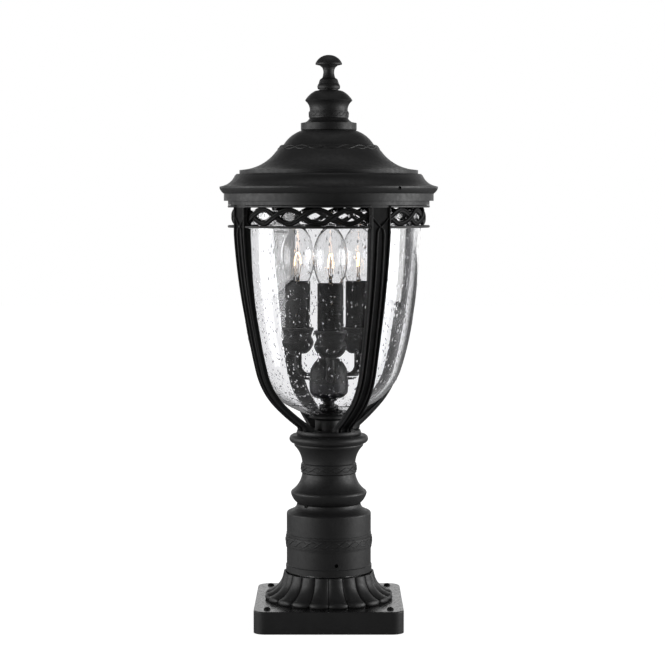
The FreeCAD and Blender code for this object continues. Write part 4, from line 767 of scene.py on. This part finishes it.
class PEDESTAL_OT_open_band(bpy.types.Operator):
    """Make the open braided band with its flanges and the ring under the roof"""

    bl_idname = "pedestal.open_band"
    bl_label = "Open band"

    strand_radius, strand_bulge, groove, strand_steps = 96.5 * MM, 1.3 * MM, 0.5, 24
    inner, flange, thick, edge, segments = 94.8 * MM, 102.6 * MM, 2.3 * MM, 0.5 * MM, 384
    upstand_inner, upstand_outer, upstand_top = 96.3 * MM, 99.5 * MM, 446.8 * MM
    notch_radius, notch_half = 100.4 * MM, radians(6.2)
    pad_inner, pad_outer, pad_half, pad_steps = 94.9 * MM, 98.7 * MM, radians(6.0), 8

    def execute(self, context):
        sizes = context.scene.pedestal_light.band
        coat = coat_of("powder_coat")
        strands = braided(
            braid_tree(), "band_strands", sizes.width, sizes.depth, self.groove, coat,
            Radius=self.strand_radius, Level=(BAND_FOOT + BAND_TOP) / 2, Rise=sizes.rise,
            Slope=0.0, Bulge=self.strand_bulge, Weave=sizes.weave,
            Turn=STRAP_TURN + pi / sizes.ovals, Ovals=sizes.ovals, Steps=self.strand_steps,
        )
        low, high = BAND_FOOT, BAND_TOP - self.thick
        rings = turned_ring("band_flanges", self.flanges(low, high), self.segments)
        self.notch(rings)
        pad = self.pad(low + self.thick, high)
        pads = ring_of("band_pads", pad, STRAP_COUNT, STRAP_TURN, coat)
        settle(strands, "head", 50)
        settle(rings, "head", 30, coat)
        settle(pads, "head", 30)
        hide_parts("cage_band")
        return {"FINISHED"}

    def flanges(self, low, high):
        """Sections of both flanges, the upper one with the upstand that the roof goes over."""
        inner, outer, edge, thick = self.inner, self.flange, self.edge, self.thick
        lower, upper = [
            [
                (inner, foot), (outer - edge, foot), (outer, foot + edge),
                (outer, foot + thick - edge), (outer - edge, foot + thick),
            ]
            for foot in (low, high)
        ]
        lower.append((inner, low + thick))
        upper += [
            (self.upstand_outer, BAND_TOP),
            (self.upstand_outer, self.upstand_top - edge),
            (self.upstand_outer - edge, self.upstand_top),
            (self.upstand_inner, self.upstand_top),
            (self.upstand_inner, BAND_TOP),
        ]
        return [lower, upper]

    def notch(self, rings):
        """Take the flanges back where the straps cross them."""
        quarter = tau / STRAP_COUNT
        for corner in rings.data.vertices:
            reach = hypot(corner.co.x, corner.co.y)
            turn = atan2(corner.co.y, corner.co.x) - STRAP_TURN
            off = abs((turn + quarter / 2) % quarter - quarter / 2)
            if reach > self.notch_radius and off < self.notch_half:
                corner.co.x *= self.notch_radius / reach
                corner.co.y *= self.notch_radius / reach

    def pad(self, low, high):
        """The wall behind a strap that its screw goes through, facing +X."""
        inner, outer = self.pad_inner, self.pad_outer
        loops = []
        for index in range(self.pad_steps + 1):
            turn = self.pad_half * (2 * index / self.pad_steps - 1)
            corners = ((inner, low), (outer, low), (outer, high), (inner, high))
            loops.append([(r * cos(turn), r * sin(turn), z) for r, z in corners])
        return lofted("band_pad", loops)


class PEDESTAL_OT_relief_bands(bpy.types.Operator):
    """Lay the small twisted bands on the fitter, the column, the roof and the cupola"""

    bl_idname = "pedestal.relief_bands"
    bl_label = "Relief bands"

    flatness, weave, strand_steps, segments = 0.8, 0.12, 14, 128

    def execute(self, context):
        coat = coat_of("powder_coat")
        tree = braid_tree()
        for name, body, radius, level, rise, width, slope, ovals in RELIEF_BANDS:
            piece = braided(
                tree, name, width * MM, width * MM * self.flatness, 0.0, coat,
                Radius=radius * MM, Level=level * MM, Rise=rise * MM, Slope=slope, Bulge=0.0,
                Weave=width * MM * self.weave, Turn=STRAP_TURN, Ovals=ovals,
                Steps=self.strand_steps,
            )
            settle(piece, body, 60)
        for name, radius, levels in RELIEF_BORDERS:
            sections = [
                [((radius + out) * MM, (level + up) * MM) for out, up in BORDER_SECTION]
                for level in levels
            ]
            beads = turned_ring(name, sections, self.segments)
            settle(beads, "head", 60, coat)
        return {"FINISHED"}


class PEDESTAL_OT_neck_screw(bpy.types.Operator):
    """Set the small dark screw in the groove between the fitter and the column"""

    bl_idname = "pedestal.neck_screw"
    bl_label = "Neck screw"

    radius, socket, socket_depth, steps = 1.9 * MM, 0.7 * MM, 0.9 * MM, 20
    inner, outer, level, turn = 31.6 * MM, 33.6 * MM, 120.6 * MM, radians(-134.6)

    def execute(self, context):
        rings = [
            (self.inner, self.radius), (self.outer, self.radius), (self.outer, self.socket),
            (self.outer - self.socket_depth, self.socket),
        ]
        angles = [tau * index / self.steps for index in range(self.steps)]
        loops = [[(x, r * cos(one), r * sin(one)) for one in angles] for x, r in rings]
        screw = lofted("neck_screw", loops)
        place = Matrix.Translation((0, 0, self.level)) @ Matrix.Rotation(self.turn, 4, "Z")
        screw.data.transform(place)
        settle(screw, "head", 30, coat_of("black_screw"))
        return {"FINISHED"}


def bead(distance, half):
    """The height of a round bead at a distance from its middle, from 0 to 1."""
    share = abs(distance) / half
    return sqrt(1 - share * share) if share < 1 else 0.0


class PEDESTAL_OT_straps(bpy.types.Operator):
    """Make the four curved straps with their rims and crossing ribs"""

    bl_idname = "pedestal.straps"
    bl_label = "Straps"

    columns, step = 84, 0.9 * MM
    rim_half, rib_half = 0.95 * MM, 1.1 * MM
    corner, flare = 0.6 * MM, 0.7 * MM
    arch, crossing, arch_power = 395.0 * MM, 404.0 * MM, 2.2
    band_level, band_depth = 402.5 * MM, 4.4 * MM
    toe_top, toe_radius = COLLAR_TOP + 3.6 * MM, 22.6 * MM

    def rib_offset(self, level, sizes):
        """How far the ribs lie from the centre line at a height."""
        if level < self.arch:
            return sizes.rib_place
        if level < self.crossing:
            share = (level - self.arch) / (self.crossing - self.arch)
            return sizes.rib_place * sqrt(max(0.0, 1 - share ** self.arch_power))
        return level - self.crossing

    def taper(self, level):
        """Shares for the width, the face and the back at a height."""
        share = (level - COLLAR_TOP) / STRAP_RISE
        for low, high in zip(STRAP_TAPER_SHARES, STRAP_TAPER_SHARES[1:]):
            if share <= high[0]:
                part = max(0.0, (share - low[0]) / (high[0] - low[0]))
                return [start + (end - start) * part for start, end in zip(low[1:], high[1:])]
        return STRAP_TAPER_SHARES[-1][1:]

    def face(self, across, half, level, sizes):
        """Depth of the outer face below the rims."""
        offset = self.rib_offset(level, sizes)
        rim = sizes.rim_rise * bead(abs(across) - half + self.rim_half, self.rim_half)
        rib = sizes.rib_rise * bead(abs(across) - offset, self.rib_half)
        return sizes.rim_rise - max(rim, rib)

    def loop(self, place, way, sizes):
        """One section of a strap as (across, place in its side view, recess)."""
        broad, thinned, deepened = self.taper(place.y)
        half = sizes.width / 2 * broad
        spot = place + way * sizes.depth * thinned
        loop = []
        for column in range(self.columns + 1):
            across = half * (2 * column / self.columns - 1)
            low = self.face(across, half, spot.y, sizes)
            # The recess share of each point, which the coat turns into painted shade
            loop.append((across, spot + way * low, low / sizes.rim_rise))
        depth = self.band_depth if place.y > self.band_level else sizes.depth * deepened
        toe = Vector((self.toe_radius, place.y))
        back = toe if place.y < self.toe_top else place + way * depth
        near = back + (spot - back).normalized() * self.corner
        wide = half + self.flare
        narrow = wide - self.corner
        return loop + [(wide, near, 0), (narrow, back, 0), (-narrow, back, 0), (-wide, near, 0)]

    def execute(self, context):
        sizes = context.scene.pedestal_light.strap
        side = shared(
            STRAP_SIDE_SHARES,
            (STRAP_FOOT_RADIUS, CAGE_RADIUS),
            (COLLAR_TOP, COLLAR_TOP + STRAP_RISE),
        )
        run = rounded_run(side, self.step)
        loops = [self.loop(place, way, sizes) for place, way in zip(run, inward(run))]
        recess = [hollow for loop in loops for across, spot, hollow in loop]
        spots = [[(spot.x, across, spot.y) for across, spot, hollow in loop] for loop in loops]
        for number in range(STRAP_COUNT):
            strap = lofted(f"strap_{number + 1}", spots, recess)
            turn = STRAP_TURN + tau * number / STRAP_COUNT
            strap.data.transform(Matrix.Rotation(turn, 4, "Z"))
            settle(strap, "head", 48, coat_of("powder_coat"))
            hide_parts(f"cage_strap_{number + 1}")
        return {"FINISHED"}


class PEDESTAL_OT_skirt(bpy.types.Operator):
    """Make the flared skirt with its ring of round reeds"""

    bl_idname = "pedestal.skirt"
    bl_label = "Reeded skirt"

    step, steps, roundness = 0.7 * MM, 20, 0.62
    play, back_share, back_depth = 0.999, 0.9, 1.2 * MM
    seam, rim_depth = 0.05 * MM, 8 * MM
    hollow_radius, hollow_rise, segments = 50 * MM, 5 * MM, 160

    def execute(self, context):
        sizes = context.scene.pedestal_light.skirt
        coat = coat_of("powder_coat")
        top = PLINTH_TOP + SKIRT_RISE
        radii = (SKIRT_TOP_RADIUS, SKIRT_FOOT_RADIUS)
        run = rounded_run(shared(SKIRT_SIDE_SHARES, radii, (PLINTH_TOP, top)), self.step)
        floors = []
        for spot, way in zip(run, inward(run)):
            grown = (1 - (spot.y - PLINTH_TOP) / SKIRT_RISE) ** 2
            depth = sizes.top_depth + (sizes.foot_depth - sizes.top_depth) * grown
            floor = spot + way * depth
            floors.append(Vector((floor.x, min(max(floor.y, PLINTH_TOP), top))))
        floors[0].y, floors[-1].y = PLINTH_TOP, top
        half = pi / sizes.reeds
        reed = self.reed(run, floors, half * self.play)
        reeds = ring_of("skirt_reeds", reed, sizes.reeds, half - pi / 2, coat)
        core = [(spot.x + self.seam, spot.y) for spot in floors]
        core += [
            (SKIRT_BORE, top),
            (SKIRT_BORE, top - self.rim_depth),
            (self.hollow_radius, PLINTH_TOP + self.hollow_rise),
            (self.hollow_radius, PLINTH_TOP),
        ]
        body = turned_ring("skirt_core", [core], self.segments)
        settle(reeds, "base", 70)
        settle(body, "base", 35, coat)
        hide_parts("fluted_skirt")
        return {"FINISHED"}

    def reed(self, run, floors, half):
        """One closed reed along +X, between the skirt's wall and its crest."""
        loops = []
        for crest, floor in zip(run, floors):
            spots = []
            for index in range(self.steps + 1):
                across = 2 * index / self.steps - 1
                out = (1 - across * across) ** self.roundness
                spots.append((floor.lerp(crest, out), half * across))
            back = floor - Vector((self.back_depth, 0))
            spots += [(back, half * self.back_share), (back, -half * self.back_share)]
            loops.append(
                [(spot.x * cos(turn), spot.x * sin(turn), spot.y) for spot, turn in spots]
            )
        return lofted("reed", loops)


class PEDESTAL_OT_glass_seeds(bpy.types.Operator):
    """Scatter the seeds over the glass urn"""

    bl_idname = "pedestal.glass_seeds"
    bl_label = "Glass seeds"

    fixed_seed = 7

    def execute(self, context):
        light = context.scene.pedestal_light
        work = bmesh.new()
        bmesh.ops.create_uvsphere(work, u_segments=6, v_segments=5, radius=1.0)
        mesh = bpy.data.meshes.new("seed_drop")
        work.to_mesh(mesh)
        work.free()
        drop = added("seed_drop", mesh)
        seeds = seed_tree().made(
            "glass_seeds", Surface=frame["nodes"]["glass_shade"], Drop=drop,
            Density=light.glass.density, Smallest=light.glass.smallest,
            Largest=light.glass.largest, Seed=self.fixed_seed,
            Material=seed_glass(light.finish),
        )
        bpy.data.objects.remove(drop)
        settle(seeds, "head", 180)
        return {"FINISHED"}


class PEDESTAL_OT_bulbs(bpy.types.Operator):
    """Make the glass of each bulb with its lit filament and wires"""

    bl_idname = "pedestal.bulbs"
    bl_label = "Bulbs"

    lean, coil_wire, support = radians(40), 0.2 * MM, 0.34 * MM
    coil_turns, turn_steps, coil_radius = 34, 8, 0.6 * MM
    coil_half, coil_foot, coil_rise = 3.4 * MM, 21 * MM, 14 * MM
    neck, bulb_length, tip_floor = 6.2 * MM, 65.9 * MM, 62.4 * MM
    wall, wall_top, neck_inner = 0.7 * MM, 62 * MM, 5.5 * MM
    shell_step, shell_segments, stem_segments = 2 * MM, 48, 24

    def execute(self, context):
        glow, glass = coat_of("lit_filament"), coat_of("bulb_glass")
        metal = plain_coat("support_wire", (0.20, 0.13, 0.07), 0.35, 1.0)
        paths = [[Vector(spot) * MM for spot in path] for path in WIRE_PATHS]
        stem_section = [(radius * MM, level * MM) for radius, level in STEM_SECTION]
        for number in range(CANDLE_COUNT):
            turn = CANDLE_TURN + tau * number / CANDLE_COUNT
            across, along = CANDLE_CIRCLE * cos(turn), CANDLE_CIRCLE * sin(turn)
            foot = Matrix.Translation((across, along, BULB_FOOT))
            place = foot @ Matrix.Rotation(turn + self.lean, 4, "Z")
            body, mark = f"bulb_{number + 1}", f"_{number + 1}"
            coil = self.tube("filament_coil" + mark, [self.coil()], self.coil_wire, place)
            wires = self.tube("filament_wires" + mark, paths, self.support, place)
            shell = turned_ring(
                "bulb_shell" + mark, [self.shell_section()], self.shell_segments
            )
            stem = turned_ring("filament_stem" + mark, [stem_section], self.stem_segments)
            settle(coil, body, 180, glow)
            settle(wires, body, 180, metal)
            for piece in (shell, stem):
                piece.data.transform(foot)
                settle(piece, body, 50, glass)
            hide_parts("bulb_filament" + mark)
            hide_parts("bulb_glass" + mark)
        return {"FINISHED"}

    def coil(self):
        """A helix along a narrow arch."""
        path = []
        for index in range(self.coil_turns * self.turn_steps + 1):
            lean = pi * index / (self.coil_turns * self.turn_steps)
            across, up = cos(lean), sin(lean)
            middle = Vector((-self.coil_half * across, 0, self.coil_foot + self.coil_rise * up))
            along = Vector((self.coil_half * up, 0, self.coil_rise * across)).normalized()
            side = Vector((0, 1, 0))
            angle = tau * index / self.turn_steps
            off = side * cos(angle) + along.cross(side) * sin(angle)
            path.append(middle + off * self.coil_radius)
        return path

    def shell_section(self):
        """Half of the bulb's glass wall, from its neck to its closed tip."""
        side = [
            (self.neck, 0), (10.9 * MM, 4.5 * MM, 0.118), (17.5 * MM, 32 * MM, 0.198),
            (4.5 * MM, 63.5 * MM), (1.2 * MM, self.bulb_length),
        ]
        run = rounded_run(side, self.shell_step)
        wall = [spot + way * self.wall for spot, way in zip(run, inward(run))][:-1]
        inner = [(spot.x, spot.y) for spot in reversed(wall) if 0 < spot.y < self.wall_top]
        outer = [(spot.x, spot.y) for spot in run] + [(0, self.bulb_length), (0, self.tip_floor)]
        return outer + inner + [(self.neck_inner, 0)]

    def tube(self, name, paths, radius, place):
        """Round wires along paths over the bulb's foot, which has this place."""
        curve = bpy.data.curves.new(name, "CURVE")
        curve.dimensions = "3D"
        curve.bevel_depth = radius
        curve.bevel_resolution = 1
        curve.use_fill_caps = True
        for path in paths:
            spline = curve.splines.new("POLY")
            spline.points.add(len(path) - 1)
            for point, spot in zip(spline.points, path):
                point.co = (*(place @ spot), 1)
        return evaluated(name, added(name, curve))


class PEDESTAL_OT_stage(bpy.types.Operator):
    """Set the floor, the soft light, the background and the camera"""

    bl_idname = "pedestal.stage"
    bl_label = "Stage"

    aim = Vector((0, 0, 0.3))
    floor_corners = [(-1, -1, 0), (1, -1, 0), (1, 1, 0), (-1, 1, 0)]
    floor_reach, floor_near, floor_far, floor_shade = 6.0, 0.12, 0.5, 0.86
    paper_dark, paper_light = (0.48, 0.48, 0.48), (0.52, 0.52, 0.52)
    dim, back_glow, back_range = 0.09, 1.1, (0.45, 0.95)
    high_share, high_range = 0.05, (0.25, 0.55)
    sensor_width, clip_end = 36, 50

    def execute(self, context):
        sizes = context.scene.pedestal_light.stage
        self.floor()
        self.background(context.scene)
        self.softbox("left_softbox", (-1.44, -0.35, 0.42), (2.0, 0.8), sizes.left_light)
        self.softbox("right_softbox", (1.49, -0.13, 0.42), (1.4, 0.8), sizes.right_light)
        self.softbox("top_softbox", (0.0, 0.2, 1.9), (1.2, 1.2), sizes.top_light)
        camera = bpy.data.cameras.new("camera")
        camera.lens, camera.sensor_width = sizes.lens, self.sensor_width
        camera.sensor_fit = "HORIZONTAL"
        camera.clip_end = self.clip_end
        view = added("camera", camera)
        view.location = (sizes.aside, -sizes.distance, sizes.height)
        view.rotation_euler = (pi / 2 - sizes.pitch, 0, 0)
        context.scene.camera = view
        context.scene.view_settings.view_transform = "Standard"
        return {"FINISHED"}

    def floor(self):
        """A wide pale floor that keeps the object's shadow."""
        corners = [Vector(spot) * self.floor_reach for spot in self.floor_corners]
        mesh = bpy.data.meshes.new("floor")
        mesh.from_pydata(corners, [], [(0, 1, 2, 3)])
        paper = Surface("floor_paper")
        paper.colour(paper.noise(3, 2), self.paper_dark, self.paper_light)
        paper.set(Roughness=0.9, Specular_IOR_Level=0.0)
        away = paper.add("ShaderNodeVectorMath", {0: paper.place}, operation="LENGTH")
        pale = paper.ranged(
            away.outputs["Value"], self.floor_shade, 1.0, self.floor_near, self.floor_far
        )
        lit = paper.shader.outputs[0]
        glow = paper.out("ShaderNodeEmission", {"Strength": pale})
        veil = paper.out("ShaderNodeAddShader", {0: lit, 1: glow})
        mix = paper.out("ShaderNodeMixShader", {0: paper.seen(), 1: lit, 2: veil})
        paper.feed(paper.group.nodes["Material Output"].inputs[0], mix)
        mesh.materials.append(paper.material)
        added("floor", mesh)

    def background(self, scene):
        """White behind the object, and a room that is pale low behind it and dim in front."""
        scene.world = bpy.data.worlds.new("studio")
        scene.world.use_nodes = True
        room = Nodes(scene.world.node_tree)
        smooth = partial(room.ranged, interpolation_type="SMOOTHSTEP")
        way = room.add("ShaderNodeTexCoord").outputs["Generated"]
        parts = room.add("ShaderNodeSeparateXYZ", {0: way}).outputs
        behind = smooth(parts[1], 0.0, self.back_glow, *self.back_range)
        low = smooth(parts[2], 1.0, self.high_share, *self.high_range)
        glow = room.math("MULTIPLY_ADD", behind, low, self.dim)
        background = room.group.nodes["Background"].inputs
        background[0].default_value = (1, 1, 1, 1)
        room.feed(background[1], room.mixed(room.seen(), glow, 1.0))

    def softbox(self, name, place, size, power):
        """A soft rectangular lamp that faces the object."""
        lamp = bpy.data.lights.new(name, "AREA")
        lamp.shape = "RECTANGLE"
        lamp.size, lamp.size_y = size
        lamp.energy = power
        box = added(name, lamp)
        box.location = place
        box.rotation_euler = (self.aim - Vector(place)).to_track_quat("-Z", "Y").to_euler()


class PEDESTAL_PT_panel(bpy.types.Panel):
    """The steps that dress the light, in order"""

    bl_idname = "PEDESTAL_PT_panel"
    bl_label = "Pedestal Light"
    bl_space_type = "VIEW_3D"
    bl_region_type = "UI"
    bl_category = "Pedestal Light"

    def draw(self, context):
        for step in STEPS:
            self.layout.operator(step.bl_idname)
        sizes = context.scene.pedestal_light
        for group in (sizes.band, sizes.strap, sizes.skirt, sizes.glass, sizes.finish, sizes.stage):
            box = self.layout.box()
            for name in group.__annotations__:
                box.prop(group, name)


GROUPS = (BandSizes, StrapSizes, SkirtSizes, GlassSizes, Finishes, StageSizes, PedestalLight)
STEPS = (
    PEDESTAL_OT_frame_finishes,
    PEDESTAL_OT_open_band,
    PEDESTAL_OT_relief_bands,
    PEDESTAL_OT_neck_screw,
    PEDESTAL_OT_straps,
    PEDESTAL_OT_skirt,
    PEDESTAL_OT_glass_seeds,
    PEDESTAL_OT_bulbs,
    PEDESTAL_OT_stage,
)
CLASSES = (*GROUPS, *STEPS, PEDESTAL_PT_panel)


def register():
    """Add the classes and the sizes."""
    for one in CLASSES:
        bpy.utils.register_class(one)
    bpy.types.Scene.pedestal_light = PointerProperty(type=PedestalLight)


def unregister():
    """Take them away again."""
    del bpy.types.Scene.pedestal_light
    for one in reversed(CLASSES):
        bpy.utils.unregister_class(one)


def main():
    """Register the steps and dress the light."""
    register()
    for step in STEPS:
        group, name = step.bl_idname.split(".")
        getattr(getattr(bpy.ops, group), name)()


if __name__ == "__main__":
    main()
